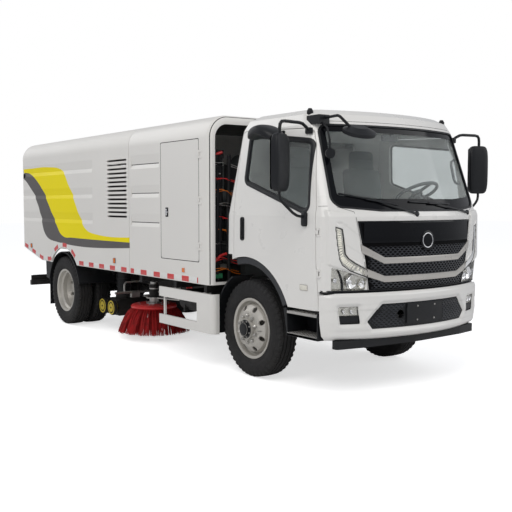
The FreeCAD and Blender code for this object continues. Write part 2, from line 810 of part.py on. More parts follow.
def recess_cutters(low_x, high_x):
    """Grooves that slope in from the top and come out sharply at the bottom, on both sides."""
    cutters = []
    for row_low, row_high in RECESS_ROWS:
        for side in (1, -1):
            deep = side * (half - RECESS_DEPTH)
            proud = side * (half + 5)
            face = side * half
            wedge = front_prism([(face, row_high), (deep, row_low + 50), (face, row_low),
                                 (proud, row_low), (proud, row_high)], low_x, high_x)
            cutters.append(wedge)
    return cutters


# hopper
arch_x = size.rear_axle_x + 105
arch_z = 536
arch = 587
rear_chamfer = [(size.hopper_rear - 10, low - 50), (size.hopper_rear - 10, 1092),
                (size.hopper_rear, 1092), (size.hopper_rear + 732, 921), (size.hopper_rear + 850, low),
                (size.hopper_rear + 850, low - 50)]
gate_low = 1190
gate_high = 2420
gate_half = half - 90
gate_thick = 46
louvre_low_x = -600
louvre_high_x = -60
louvre_low_z = 1580


def hopper_shape():
    outer = body_section(size.hopper_rear, size.hopper_front, 0, low)
    edges = [edge for edge in outer.Edges
             if edge.BoundBox.XMax < size.hopper_rear + 1 and edge.BoundBox.ZMax > low + 10]
    outer = outer.makeFillet(120, edges)
    room = body_section(size.hopper_rear + 90, size.hopper_front - wall, wall, size.hopper_floor + 40)
    under = block((size.hopper_rear - 10, size.hopper_front + 10), (-skin_in, skin_in),
                  (low - 10, size.hopper_floor))
    mouth = block((size.hopper_rear - 10, size.hopper_rear + 100), (-gate_half, gate_half),
                  (gate_low, gate_high))
    arch_cuts = [Part.makeCylinder(arch, wall + 12, Vector(arch_x, y, arch_z), Vector(0, 1, 0))
                 for y in (skin_in - 1, -half - 11)]
    chamfer = side_prism(rear_chamfer, -half - 10, half + 10)
    shell = without(outer, [room, under, mouth, chamfer] + arch_cuts)
    shell = without(shell, recess_cutters(size.hopper_rear + 60, size.hopper_front - 1050))
    slots = []
    for index in range(int(size.louvre_slots)):
        level = louvre_low_z + index * size.louvre_pitch
        slots.append(block((louvre_low_x, louvre_high_x), (-half - 5, half + 5),
                           (level, level + size.louvre_slot)))
    shell = shell.cut(slots)
    inlets = [Part.makeCylinder(size.pipe_radius, 80, Vector(pipe_x, side * pipe_y, size.hopper_floor - 10))
              for side in (1, -1)]
    shell = shell.cut(inlets)
    sills = []
    for side in (1, -1):
        y = sorted((side * sill_in, side * sill_out))
        sill = block((size.tip_x - 60, size.hopper_front - 60), y, (sill_low, size.hopper_floor))
        bore = Part.makeCylinder(size.tip_pin + size.running_gap, 100,
                                 Vector(size.tip_x, y[0] - 10, size.tip_z), Vector(0, 1, 0))
        sills.append(sill.cut(bore))
    eye_x, eye_z = size.hoist_eye_x, size.hoist_eye_z
    lugs = [side_prism([(eye_x - 60, size.hopper_floor), (eye_x + 60, size.hopper_floor),
                        (eye_x + 30, eye_z - 38, 22), (eye_x - 30, eye_z - 38, 22)],
                       side * 62 - 8, side * 62 + 8) for side in (1, -1)]
    hinge_ears = [side_prism([(size.hopper_rear + 90, gate_high + 10), (gate_pin_x + 2, gate_high + 10),
                              (gate_pin_x - 22, gate_pin_z - 22, 10), (gate_pin_x - 22, gate_pin_z + 22, 15),
                              (size.hopper_rear + 90, gate_pin_z + 40)], y - 8, y + 8)
                  for y in (-612, -548, 548, 612)]
    pins = [Part.makeCylinder(12, 80, Vector(gate_pin_x, y - 40, gate_pin_z), Vector(0, 1, 0))
            for y in (-580, 580)]
    whole = shell.fuse(sills + lugs + hinge_ears + pins).removeSplitter()
    across_y = (-skin_in, skin_in)
    depth = (size.hopper_rear, size.hopper_rear + 90)
    floor_top = size.hopper_floor + 40
    post = block(depth, (gate_half, skin_in), (floor_top, top - size.roof_round))
    return parted(whole, body_panels(size.hopper_rear, size.hopper_front) + [
        block((size.hopper_rear - 20, size.hopper_front + 20), across_y, (size.hopper_floor, floor_top)),
        post, in_mirror(post),
        block(depth, across_y, (floor_top, gate_low)),
        block(depth, across_y, (gate_high, top)),
        block((size.hopper_front - wall, size.hopper_front + 20), across_y, (floor_top, top)),
    ])


pipe_x = (size.nozzle_front + size.nozzle_rear) / 2
pipe_y = 600
sill_low = spacer_top + 0.5
gate_pin_x = size.hopper_rear - 35
gate_pin_z = 2470
hopper = shaped(hopper_shape(), "hopper")
node("hopper_shell", hopper)


def tailgate_shape():
    """A framed rear door with pressed ribs, hung from two hinge arms."""
    gap = size.panel_gap
    x0 = size.hopper_rear - 4
    x1 = x0 + gate_thick
    y = gate_half - gap
    door = block((x0, x1), (-y, y), (gate_low + gap, gate_high - gap))
    panes = [block((x0 - 5, x0 + 14), (-y + 70 + index * 432, -y + 430 + index * 432),
                   (gate_low + 90, gate_high - 90)) for index in range(5)]
    door = door.cut(panes)
    ribs = [block((x0, x0 + 14), (-y + 60, y - 60), (level, level + 60)) for level in (1560, 1860, 2160)]
    arms = []
    for middle in (-580, 580):
        arm = side_prism([(x0, gate_high - 120), (x0, gate_high - gap), (gate_pin_x + 20, gate_pin_z - 30),
                          (gate_pin_x + 20, gate_pin_z + 20, 18), (gate_pin_x - 20, gate_pin_z + 20, 18),
                          (gate_pin_x - 20, gate_high - 120)], middle - 20, middle + 20)
        arms.append(arm.cut(Part.makeCylinder(12 + size.running_gap, 60,
                                              Vector(gate_pin_x, middle - 30, gate_pin_z), Vector(0, 1, 0))))
    latches = [block((x0 - 26, x0), (middle - 25, middle + 25), (gate_low + 30, gate_low + 150))
               for middle in (-800, 800)]
    return door.fuse(ribs + arms + latches).removeSplitter()


node("tailgate", shaped(tailgate_shape()))

# engine housing, fixed to the frame
housing_rear = size.hopper_front + size.body_gap
portal_half = half - 72
portal_top = top - 96


def service_outline(gap):
    """The service door's side-view outline, grown by a gap."""
    rear, front = size.door_rear - gap, size.door_front + gap
    foot, head = size.door_low - gap, size.door_high + gap
    return [(rear, foot, 25), (front, foot, 25), (front, head, 25), (rear, head, 25)]


def housing_skin():
    """Walls, roof and floor with the rounded open front."""
    outer = body_section(housing_rear, size.housing_front, 0, low)
    edges = [edge for edge in outer.Edges
             if edge.BoundBox.XMin > size.housing_front - 1 and edge.BoundBox.ZMax > low + 10]
    outer = outer.makeFillet(68, edges)
    room = body_section(housing_rear - 10, size.housing_front - wall, wall, low + wall)
    portal = front_prism([(-portal_half, low + wall), (portal_half, low + wall),
                          (portal_half, portal_top, 150), (-portal_half, portal_top, 150)],
                         size.housing_front - 60, size.housing_front + 10)
    return outer.cut([room, portal])


SERVICE_HINGES = (1300, 1790, 2280)
service_hinge_x = size.door_front + 3


def service_rod(radius, low, high):
    return Part.makeCylinder(radius, high - low, Vector(service_hinge_x, half, low))


def service_door_shape():
    """The left service door, with hinge knuckles along its front edge."""
    door = housing_skin().common(side_prism(service_outline(0), half - wall - 60, half + 5))
    for level in SERVICE_HINGES:
        notches = [service_rod(16, level - 50, level - 20), service_rod(16, level + 20, level + 50)]
        door = without(door, notches)
        strap = block((service_hinge_x - 60, service_hinge_x), (half - 1, half + 6),
                      (level - 18, level + 18))
        knuckle = strap.fuse(service_rod(11, level - 18, level + 18))
        door = without(door.fuse(knuckle), [service_rod(6 + size.running_gap, level - 60, level + 60)])
    return door.removeSplitter()


def housing_shape():
    skin = housing_skin()
    doors = [side_prism(service_outline(size.panel_gap), *sorted((side * (half - 100), side * (half + 5))))
             for side in (1, -1)]
    skin = without(skin, doors + recess_cutters(size.hopper_front + 56, size.hopper_front + 756))
    hinges = []
    for level in SERVICE_HINGES:
        pocket = service_rod(17, level - 19, level + 19)
        skin = without(skin, [pocket, in_mirror(pocket)])
        hinge = service_rod(6, level - 44, level + 44)
        for low_end in (level - 44, level + 20):
            hinge = hinge.fuse([service_rod(11, low_end, low_end + 24),
                                block((service_hinge_x, service_hinge_x + 60), (half - 1, half + 6),
                                      (low_end, low_end + 24))])
        hinges += [hinge, in_mirror(hinge)]
    post = block((size.door_rear - 60, size.door_rear - 20), (half - 110, skin_in), (low + wall, top - 150))
    whole = skin.fuse([post, in_mirror(post)] + hinges).removeSplitter()
    mouth = (size.housing_front - wall, size.housing_front + 20)
    head_corner = block(mouth, (portal_half - 150, skin_in), (portal_top - 150, top))
    jamb = block(mouth, (portal_half - 2, skin_in), (low + wall, portal_top - 150))
    return parted(whole, body_panels(housing_rear, size.housing_front) + [
        block((housing_rear - 20, size.housing_front + 20), (-skin_in, skin_in), (low, low + wall)),
        head_corner, in_mirror(head_corner), jamb, in_mirror(jamb),
    ])


node("front_housing", shaped(housing_shape(), "housing"))
service_left = shaped(service_door_shape(), "service_door")
node("service_door_left", group(service_left))
node("service_door_right", mirrored(service_left))


def auxiliary_engine_shape():
    """Engine, radiator, suction fan, air cleaner and water tanks on the housing floor."""
    floor = low + wall
    engine = block((620, 1280), (-330, 330), (floor + 120, floor + 780))
    feet = [block((x, x + 60), (-330, 330), (floor, floor + 120)) for x in (650, 1190)]
    head = block((680, 1220), (-170, 170), (floor + 780, floor + 920))
    radiator = block((1420, 1500), (-480, 480), (floor, floor + 900))
    shroud = Part.makeCylinder(330, 140, Vector(1285, 0, floor + 450), Vector(1, 0, 0))
    fan = Part.makeCylinder(430, 230, Vector(290, 0, floor + 620), Vector(1, 0, 0))
    fan_foot = block((320, 490), (-300, 300), (floor, floor + 300))
    shaft = Part.makeCylinder(60, 110, Vector(515, 0, floor + 620), Vector(1, 0, 0))
    duct = block((290, 520), (-180, 180), (floor + 950, floor + 1300))
    cleaner = Part.makeCylinder(135, 420, Vector(1300, -420, floor + 1250), Vector(1, 0, 0))
    stand = block((1420, 1500), (-560, -300), (floor + 890, floor + 1180))
    silencer = Part.makeCylinder(95, 620, Vector(1460, -250, floor + 1080), Vector(0, 1, 0))
    pillar = block((1430, 1490), (300, 360), (floor + 890, floor + 1100))
    pipes = [tube_along([(1660, -420, floor + 1250), (1760, -420, floor + 1250), (1760, -420, floor + 700),
                         (1480, -420, floor + 700)], 38, 70),
             tube_along([(1480, 380, floor + 600), (1700, 380, floor + 600), (1700, 380, floor + 100),
                         (1480, 380, floor + 100)], 26, 60)]
    return engine.fuse(feet + [head, radiator, shroud, fan, fan_foot, shaft, duct, cleaner, stand,
                               silencer, pillar] + pipes).removeSplitter()


node("auxiliary_engine", shaped(auxiliary_engine_shape(), "auxiliary"))

# hoist
hoist_run = Vector(size.hoist_eye_x - size.hoist_x, 0, size.hoist_eye_z - size.hoist_z)
hoist_along = Vector(hoist_run)
hoist_along.normalize()
hoist_low = Vector(size.hoist_x, 0, size.hoist_z)


def barrel_shape():
    length = hoist_run.Length - 330
    outer = Part.makeCylinder(58, length, hoist_low + hoist_along * 60, hoist_along)
    inner = Part.makeCylinder(31, length, hoist_low + hoist_along * 100, hoist_along)
    eye = Part.makeCylinder(34, 70, hoist_low - Vector(0, 35, 0), Vector(0, 1, 0))
    neck = Part.makeCylinder(28, 60, hoist_low + hoist_along * 20, hoist_along)
    bore = Part.makeCylinder(16 + size.running_gap, 90, hoist_low - Vector(0, 45, 0), Vector(0, 1, 0))
    return outer.fuse([eye, neck]).cut([inner, bore]).removeSplitter()


def rod_shape():
    start = hoist_low + hoist_along * 140
    bar = Part.makeCylinder(30, hoist_run.Length - 165, start, hoist_along)
    eye_at = hoist_low + hoist_run
    eye = Part.makeCylinder(36, 90, eye_at - Vector(0, 45, 0), Vector(0, 1, 0))
    bore = Part.makeCylinder(16, 110, eye_at - Vector(0, 55, 0), Vector(0, 1, 0))
    return bar.fuse(eye).cut(bore).removeSplitter()


node("hoist_barrel", shaped(barrel_shape(), "barrel"))
node("hoist_rod", shaped(rod_shape(), "rod"))

# ---------------------------------------------------------------- guards, lamps and bars


def arc_band(x, z, radius, thick, first, last, y_low, y_high):
    """A curved mudguard: a ring segment between two angles in degrees, extruded across."""
    def at(reach, angle):
        angle = math.radians(angle)
        return Vector(x + reach * math.cos(angle), y_low, z + reach * math.sin(angle))
    middle = (first + last) / 2
    wire = Part.Wire([
        Part.Arc(at(radius, first), at(radius, middle), at(radius, last)).toShape(),
        Part.LineSegment(at(radius, last), at(radius + thick, last)).toShape(),
        Part.Arc(at(radius + thick, last), at(radius + thick, middle), at(radius + thick, first)).toShape(),
        Part.LineSegment(at(radius + thick, first), at(radius, first)).toShape(),
    ])
    return Part.Face(wire).extrude(Vector(0, y_high - y_low, 0))


def rear_guard():
    """A wing over the left twin wheels with its stays and mud flap."""
    x, z = size.rear_axle_x, axle_z
    wing = arc_band(x, z, 556, 8, 14, 166, 560, 1122)
    lip = arc_band(x, z, 548, 16, 14, 166, 1104, 1122)
    lean = math.radians(24)
    stays = [Part.makeCylinder(14, 185, Vector(x + way * 560 * math.cos(lean), size.rail_outer_y,
                                               z + 560 * math.sin(lean)), Vector(0, 1, 0))
             for way in (1, -1)]
    flap = block((x - 548, x - 540), (590, 1110), (240, 640))
    side_plate = side_prism([(x - 575, 620), (x - 545, 640), (x - 420, 880), (x - 700, 885), (x - 690, 640)],
                            1100, 1106)
    return wing.fuse([lip, flap, side_plate] + stays).removeSplitter()


def front_guard():
    """The rear half of the front wing, on the frame behind the wheel."""
    x, z = front_axle_x, axle_z
    wing = arc_band(x, z, 575, 8, 118, 192, 780, 1040)
    lip = arc_band(x, z, 567, 16, 118, 192, 1028, 1044)
    lean = math.radians(164)
    stay = Part.makeCylinder(12, 1030 - size.rail_outer_y,
                             Vector(x + 594 * math.cos(lean), size.rail_outer_y, z + 594 * math.sin(lean)),
                             Vector(0, 1, 0))
    return wing.fuse([lip, stay]).removeSplitter()


rear_guard_left = shaped(rear_guard(), "rear_wing")
front_guard_left = shaped(front_guard(), "front_wing")
node("mudguards", group(rear_guard_left, mirrored(rear_guard_left),
                        front_guard_left, mirrored(front_guard_left)))

# side guards: a wrapped sheet with a window that is open at the rear
guard_rear = 730
guard_front = 1640
guard_end = guard_front + 216
guard_low = 375
guard_high = 800


def side_guard():
    y = half - 4
    sheet_thick = 26
    turn = 60
    return_y = y - 92
    inner_x, inner_y = guard_end - sheet_thick, y - sheet_thick
    skin = plan_prism([(guard_rear, inner_y), (inner_x, inner_y, turn - sheet_thick), (inner_x, return_y),
                       (guard_end, return_y), (guard_end, y, turn), (guard_rear, y)], guard_low, guard_high)
    window = block((guard_rear - 10, guard_front - 90), (y - 60, y + 10),
                   (guard_low + 105, guard_high - 112))
    skin = skin.cut(window)
    post = block((guard_rear + 60, guard_rear + 84), (y - sheet_thick - 24, y - sheet_thick),
                 (guard_low + 20, guard_high - 20))
    hangers = [block((x - 20, x + 20), (bearer_end - 60, y - sheet_thick), (bearer_low - 55, bearer_low))
               for x in BEARER_X[1:]]
    return skin.fuse([post] + hangers).removeSplitter()


guard_left = shaped(side_guard(), "side_guard")
node("side_guards", pair(guard_left))

# rear underrun bar on two arms, with the lamp brackets
underrun_x = -3700
flange_top = rail_low + size.rail_plate
underrun = fuse(
    box((underrun_x, underrun_x + 70), (-1050, 1050), (445, 525)),
    box((underrun_x + 4, underrun_x + 60), (sill_in - 12, web_y), (524, 700)),
    box((underrun_x + 4, underrun_x + 60), (-web_y, 12 - sill_in), (524, 700)),
    box((underrun_x + 4, size.frame_rear + 14), (size.rail_outer_y - 60, web_y), (flange_top, 710)),
    box((underrun_x + 4, size.frame_rear + 14), (-web_y, 60 - size.rail_outer_y), (flange_top, 710)),
    box((underrun_x + 20, underrun_x + 40), (640, 1040), (524, 600)),
    box((underrun_x + 20, underrun_x + 40), (-1040, -640), (524, 600)),
    name="underrun",
)
node("rear_underrun_bar", underrun)

lamp_blocks = []
for side in (1, -1):
    for near, far in ((660, 770), (776, 886), (892, 1002)):
        y = (near, far) if side > 0 else (-far, -near)
        lamp_blocks.append(box((underrun_x - 12, underrun_x + 20), y, (530, 596), "tail_lamp"))
    for x in (-3300, -412, 1288):
        y = (half, half + 14) if side > 0 else (-half - 14, -half)
        if x > 0:
            lamp_blocks.append(box((x - 22, x + 22), y, (1000, 1048), "side_lamp"))

tank_low = 430


def tank_set():
    """Fuel tank on the left rail; air tanks and battery box on the right rail."""
    tank_high = bearer_low - 8
    fuel = side_prism([(700, tank_low, 60), (1560, tank_low, 60),
                       (1560, tank_high, 60), (700, tank_high, 60)], 470, 900)
    straps = [block((x, x + 50), (size.rail_outer_y, 905), (tank_low - 5, tank_high + 6))
              for x in (850, 1360)]
    airs = [Part.makeCylinder(115, 800, Vector(760, -y, 620), Vector(1, 0, 0)) for y in (540, 790)]
    holders = [block((x, x + 30), (-900, -400), (500, 760)) for x in (850, 1440)]
    return fuel.fuse(straps).removeSplitter(), airs[0].fuse([airs[1]] + holders).removeSplitter()


fuel_shape, air_shape = tank_set()
node("chassis_tanks", group(shaped(fuel_shape, "fuel_tank"), shaped(air_shape, "air_tanks")))

# ---------------------------------------------------------------- suction nozzle

nozzle_roof = size.nozzle_top


def nozzle_shape():
    """An open-bottomed suction shoe with sloping front, pipe collars and hangers."""
    outer = side_prism([(size.nozzle_rear, size.nozzle_bottom), (size.nozzle_front, size.nozzle_bottom),
                        (size.nozzle_front, size.nozzle_bottom + 90), (pipe_x + 130, nozzle_roof - 40),
                        (pipe_x - 130, nozzle_roof - 40), (size.nozzle_rear, size.nozzle_bottom + 120)],
                       -size.nozzle_half, size.nozzle_half)
    inner = side_prism([(size.nozzle_rear + 10, size.nozzle_bottom - 5),
                        (size.nozzle_front - 10, size.nozzle_bottom - 5),
                        (size.nozzle_front - 10, size.nozzle_bottom + 84), (pipe_x + 124, nozzle_roof - 50),
                        (pipe_x - 124, nozzle_roof - 50), (size.nozzle_rear + 10, size.nozzle_bottom + 114)],
                       10 - size.nozzle_half, size.nozzle_half - 10)
    collars = [Part.makeCylinder(size.pipe_radius + 14, 50, Vector(pipe_x, side * pipe_y, nozzle_roof - 44))
               for side in (1, -1)]
    shoe = outer.fuse(collars).cut(inner)
    holes = [Part.makeCylinder(size.pipe_radius - 8, 100, Vector(pipe_x, side * pipe_y, nozzle_roof - 70))
             for side in (1, -1)]
    shoe = shoe.cut(holes)
    hangers = [block((pipe_x - 20, pipe_x + 20), sorted((side * 350, side * 380)),
                     (nozzle_roof - 42, rail_low - 0.5)) for side in (1, -1)]
    forks = []
    for side in (1, -1):
        for x in GUIDE_X:
            fork_y = sorted((side * (size.nozzle_half - 2), side * (guide_y - 34)))
            forks.append(block((x - 12, x + 12), fork_y,
                               (guide_z - 25, guide_z + 25)))
            forks.append(Part.makeCylinder(11, 76, Vector(x, side * (guide_y - 4) - 38, guide_z),
                                           Vector(0, 1, 0)))
    return shoe.fuse(hangers + forks).removeSplitter()


GUIDE_X = (size.nozzle_rear + 90, size.nozzle_front - 60)
guide_y = size.nozzle_half + 70
guide_z = 330
node("suction_nozzle", shaped(nozzle_shape(), "nozzle"))

for side, word in ((1, "left"), (-1, "right")):
    for x, place_word in zip(GUIDE_X, ("rear", "front")):
        profile = ((11 + size.running_gap, -26), (62, -26), (62, -20), (78, -24), (98, -24),
                   (size.guide_radius, -14), (size.guide_radius, 14), (98, 24), (78, 24), (62, 20),
                   (62, 26), (11 + size.running_gap, 26))
        name = f"guide_wheel_{place_word}_{word}"
        node(name, turned(name, profile, (x, side * guide_y, guide_z)))

# suction pipes from the nozzle up to the hopper floor, and the spray pipe ahead of the nozzle
pipe_low = nozzle_roof + 6 + size.seat_gap
pipe_high = size.hopper_floor - 2


def suction_pipe():
    """A ringed pipe of eight staves, with a tie to the rail."""
    tube = Part.makeCylinder(size.pipe_radius, pipe_high - pipe_low, Vector(pipe_x, pipe_y, pipe_low))
    tube = tube.cut(Part.makeCylinder(size.pipe_radius - 8, 900, Vector(pipe_x, pipe_y, pipe_low - 20)))
    rings = [Part.makeCylinder(size.pipe_radius + 12, 16, Vector(pipe_x, pipe_y, level))
             for level in (600, 700, 800, 900, 1000)]
    bore = Part.makeCylinder(size.pipe_radius - 8, 900, Vector(pipe_x, pipe_y, pipe_low - 20))
    rings = [ring.cut(bore) for ring in rings]
    tie = block((pipe_x - 25, pipe_x + 25), (400, pipe_y - size.pipe_radius + 4), (740, 780))
    whole = tube.fuse(rings + [tie]).removeSplitter()
    regions = [block((pipe_x - 40, pipe_x + 40), (380, pipe_y - size.pipe_radius - 4), (730, 790))]
    for turn in range(0, 360, 45):
        corners = [(pipe_x, pipe_y)]
        for degrees in (turn, turn + 45):
            angle = math.radians(degrees)
            corners.append((pipe_x + 400 * math.cos(angle), pipe_y + 400 * math.sin(angle)))
        regions.append(plan_prism(corners, pipe_low - 50, pipe_high + 50))
    return parted(whole, regions)


spray_x = -900
spray_z = 500
node("suction_pipes", pair(shaped(suction_pipe(), "suction_pipe")))


def spray_shape():
    """Two cross pipes, each on a drop pipe from its rail, either side of the propeller shaft."""
    bar = Part.makeCylinder(17, 800, Vector(spray_x, 120, spray_z + 50), Vector(0, 1, 0))
    drop = tube_along([(spray_x, 780, spray_z + 50), (spray_x, 780, spray_z + 190),
                       (spray_x, size.rail_outer_y, spray_z + 190)], 13, 45)
    valve = block((spray_x - 30, spray_x + 30), (560, 680), (spray_z - 20, spray_z + 50))
    left_pipe = bar.fuse([drop, valve]).removeSplitter()
    return Part.makeCompound([left_pipe, in_mirror(left_pipe)])


node("spray_pipes", shaped(spray_shape(), "spray"))

# ---------------------------------------------------------------- side brushes

arm_z = 520
arm_thick = 14
brush_top = size.brush_disc_z + 40


def brush_bracket():
    """The red bracket on the left rail with the arm's upright pin."""
    x, y = size.arm_pivot_x, size.arm_pivot_y
    plate_up = block((x - 70, x + 70), (size.rail_outer_y, size.rail_outer_y + 12), (560, bearer_low))
    shelf = block((x - 50, x + 50), (size.rail_outer_y, y + 45), (arm_z + 46, arm_z + 66))
    gusset_top = bearer_low - 10
    gusset = side_prism([(x - 6, arm_z + 60), (x + 6, arm_z + 60), (x + 6, gusset_top), (x - 6, gusset_top)],
                        size.rail_outer_y, size.rail_outer_y + 50)
    pin = Part.makeCylinder(size.arm_pin, 110, Vector(x, y, arm_z - 50))
    head_disc = Part.makeCylinder(size.arm_pin + 14, 10, Vector(x, y, arm_z - 52))
    return plate_up.fuse([shelf, gusset, pin, head_disc]).removeSplitter()


def brush_arm():
    """Swinging arm with its pivot sleeve, motor and motor plate."""
    x, y = size.arm_pivot_x, size.arm_pivot_y
    bx, by = size.brush_x, size.brush_y
    along = Vector(bx - x, by - y, 0)
    along.normalize()
    aside = Vector(-along.y, along.x, 0) * 48
    start, end = Vector(x, y, 0), Vector(bx, by, 0)
    corners = [start + aside, end + aside, end - aside, start - aside]
    bar = plan_prism([(point.x, point.y) for point in corners], arm_z, arm_z + arm_thick)
    sleeve = Part.makeCylinder(34, 82, Vector(x, y, arm_z - 38))
    carrier = Part.makeCylinder(105, arm_thick, Vector(bx, by, arm_z))
    tail = plan_prism([(bx, by - 50), (bx, by + 50), (bx - 240, by + 30), (bx - 240, by - 30)],
                      arm_z, arm_z + arm_thick)
    motor = Part.makeCylinder(62, 170, Vector(bx, by, arm_z + arm_thick))
    cap = Part.makeCylinder(48, 30, Vector(bx, by, arm_z + arm_thick + 168))
    bearing = Part.makeCylinder(60, arm_z - brush_top - 12, Vector(bx, by, brush_top + 12))
    shaft = Part.makeCylinder(18, 90, Vector(bx, by, brush_top - 60))
    bore = Part.makeCylinder(size.arm_pin + size.running_gap, 200, Vector(x, y, arm_z - 80))
    return bar.fuse([sleeve, carrier, tail, motor, cap, bearing, shaft]).cut(bore).removeSplitter()


bracket_left = shaped(brush_bracket(), "brush_bracket")
node("brush_brackets", pair(bracket_left))
arm_left = shaped(brush_arm(), "brush_arm")
node("brush_arm_left", group(arm_left))
node("brush_arm_right", mirrored(arm_left))

disc_z = size.brush_disc_z
brush_profile = (
    (18 + size.running_gap, disc_z - 24), (150, disc_z - 24), (size.brush_disc - 90, disc_z - 40),
    (size.brush_tip - 150, size.bristle_z), (size.brush_tip - 20, size.bristle_z),
    (size.brush_tip, size.bristle_z + 40), (size.brush_disc + 2, disc_z - 6),
    (size.brush_disc, disc_z + 14), (size.brush_disc - 20, disc_z + 28),
    (size.brush_disc - 110, brush_top - 6), (70, brush_top), (18 + size.running_gap, brush_top),
)
for side, word in ((1, "left"), (-1, "right")):
    name = f"side_brush_{word}"
    node(name, upright(name, brush_profile, (size.brush_x, size.brush_y * side, 0)))

# ---------------------------------------------------------------- cab

# cross-sections of the cab, from the sills up: height, rear face, half width, front face
CAB_ROWS = (
    (780, 2000, 1060, 3715),
    (1000, 2000, 1068, 3740),
    (1250, 2000, 1075, 3765),
    (1640, 2005, 1072, 3760),
    (2480, 2150, 985, 3450),
    (2580, 2200, 945, 3380),
    (2630, 2290, 860, 3270),
    (2648, 2420, 740, 3120),
)
CAB_REAR_ROUND = 60


def cab_outline(row, grow):
    """One horizontal section: flat back, straight sides, rounded corners and a bowed front."""
    level, rear, half_width, front = row
    if level > 2000:
        level += grow
    corner = size.cab_corner
    bow_y = half_width - corner
    lean = math.asin(bow_y / size.cab_bow)
    corner_radius = corner / (1 - math.sin(lean))
    bow_x = front - size.cab_bow
    turn_x = bow_x + (size.cab_bow - corner_radius) * math.cos(lean)
    turn_y = (size.cab_bow - corner_radius) * math.sin(lean)
    bow = size.cab_bow + grow
    radius = corner_radius + grow
    edge = half_width + grow
    back = rear - grow
    small = CAB_REAR_ROUND + grow

    def on(x, y, reach, angle, side=1):
        return Vector(x + reach * math.cos(angle), side * (y + reach * math.sin(angle)), level)

    middle = (lean + math.pi / 2) / 2
    rear_x = back + small
    edges = [
        Part.LineSegment(Vector(back, small - edge, level), Vector(back, edge - small, level)),
        Part.Arc(Vector(back, edge - small, level), on(rear_x, edge - small, small, math.radians(135)),
                 Vector(rear_x, edge, level)),
        Part.LineSegment(Vector(rear_x, edge, level), Vector(turn_x, edge, level)),
        Part.Arc(Vector(turn_x, edge, level), on(turn_x, turn_y, radius, middle),
                 on(turn_x, turn_y, radius, lean)),
        Part.Arc(on(bow_x, 0, bow, lean), on(bow_x, 0, bow, 0), on(bow_x, 0, bow, lean, -1)),
        Part.Arc(on(turn_x, turn_y, radius, lean, -1), on(turn_x, turn_y, radius, middle, -1),
                 Vector(turn_x, -edge, level)),
        Part.LineSegment(Vector(turn_x, -edge, level), Vector(rear_x, -edge, level)),
        Part.Arc(Vector(rear_x, -edge, level), on(rear_x, edge - small, small, math.radians(135), -1),
                 Vector(back, small - edge, level)),
    ]
    return Part.Wire([edge.toShape() for edge in edges])


def cab_form(grow=0):
    """The whole cab envelope, grown or shrunk evenly."""
    return Part.makeLoft([cab_outline(row, grow) for row in CAB_ROWS], True, True)


def cab_skin(outer, inner):
    """A layer of the cab between two offsets from its surface."""
    return cab_form(outer).cut(cab_form(inner))


reach_y = size.body_half + 100
wheel_arch = Part.makeCylinder(size.arch_radius, 2 * reach_y, Vector(front_axle_x, -reach_y, axle_z + 5),
                               Vector(0, 1, 0))
cab_foot = [
    wheel_arch,
    block((1900, 2110), (-reach_y, reach_y), (700, 1239)),
    block((3435, 3900), (-reach_y, reach_y), (700, 966)),
    block((1900, 3900), (-reach_y, reach_y), (700, 790)),
]
door_gap = 6


def door_outline(gap):
    """Side view of a cab door; the lower edge is left to the wheel arch and the sill."""
    return [(2140 - gap, 700), (3432 + gap, 700), (3405 + gap, 1730), (3290 + gap, 2290, 60),
            (3236 + gap, 2440 + gap, 70), (2185 - gap, 2482 + gap, 70), (2140 - gap, 1900, 300)]


WINDOW = [(2300, 1975, 60), (3300, 1672, 60), (3262, 2320, 60), (2335, 2430, 60)]
WINDSCREEN = [(-955, 1738, 90), (-520, 1700, 300), (520, 1700, 300), (955, 1738, 90),
              (912, 2470, 80), (-912, 2470, 80)]
REAR_WINDOW = [(-560, 2110, 50), (560, 2110, 50), (560, 2430, 50), (-560, 2430, 50)]
PANEL = [(-632, 956), (632, 956), (762, 1600), (-762, 1600)]
BARS = (
    [(-742, 1392), (-728, 1322), (-505, 1212, 30), (505, 1212, 30), (728, 1322), (742, 1392),
     (505, 1268, 30), (-505, 1268, 30)],
    [(-702, 1180), (-688, 1110), (-490, 1042, 30), (490, 1042, 30), (688, 1110), (702, 1180),
     (490, 1098, 30), (-490, 1098, 30)],
)
HEADLAMP = [(672, 972, 20), (975, 972, 20), (985, 1195), (900, 1165), (660, 1080)]

walls = cab_form(-size.cab_wall)
cabin = walls.common(side_prism([(2050, 1270), (2995, 1270), (2995, 980), (3360, 980), (3360, 1245),
                                 (3900, 1245), (3900, 2700), (1900, 2700)], -reach_y, reach_y))
bay = walls.common(side_prism([(1900, 600), (1900, 1225), (2950, 1225), (2950, 935), (3405, 935),
                               (3405, 1200), (3900, 1200), (3900, 600)], -reach_y, reach_y))
window_cut = side_prism(WINDOW, 700, reach_y)
screen_cut = front_prism(WINDSCREEN, 2900, 3900)
rear_cut = front_prism(REAR_WINDOW, 1900, 2300)
panel_inlay = cab_skin(3, -14).common(front_prism(PANEL, 3300, 3900))
bar_shapes = [cab_skin(14, -4).common(front_prism(outline, 3300, 3900)) for outline in BARS]
lamp_outlines = [front_prism([(side * point[0],) + tuple(point[1:]) for point in HEADLAMP], 3200, 3900)
                 for side in (1, -1)]
lamp_skin = cab_skin(0, -30)
headlamp_shapes = [lamp_skin.common(outline) for outline in lamp_outlines]


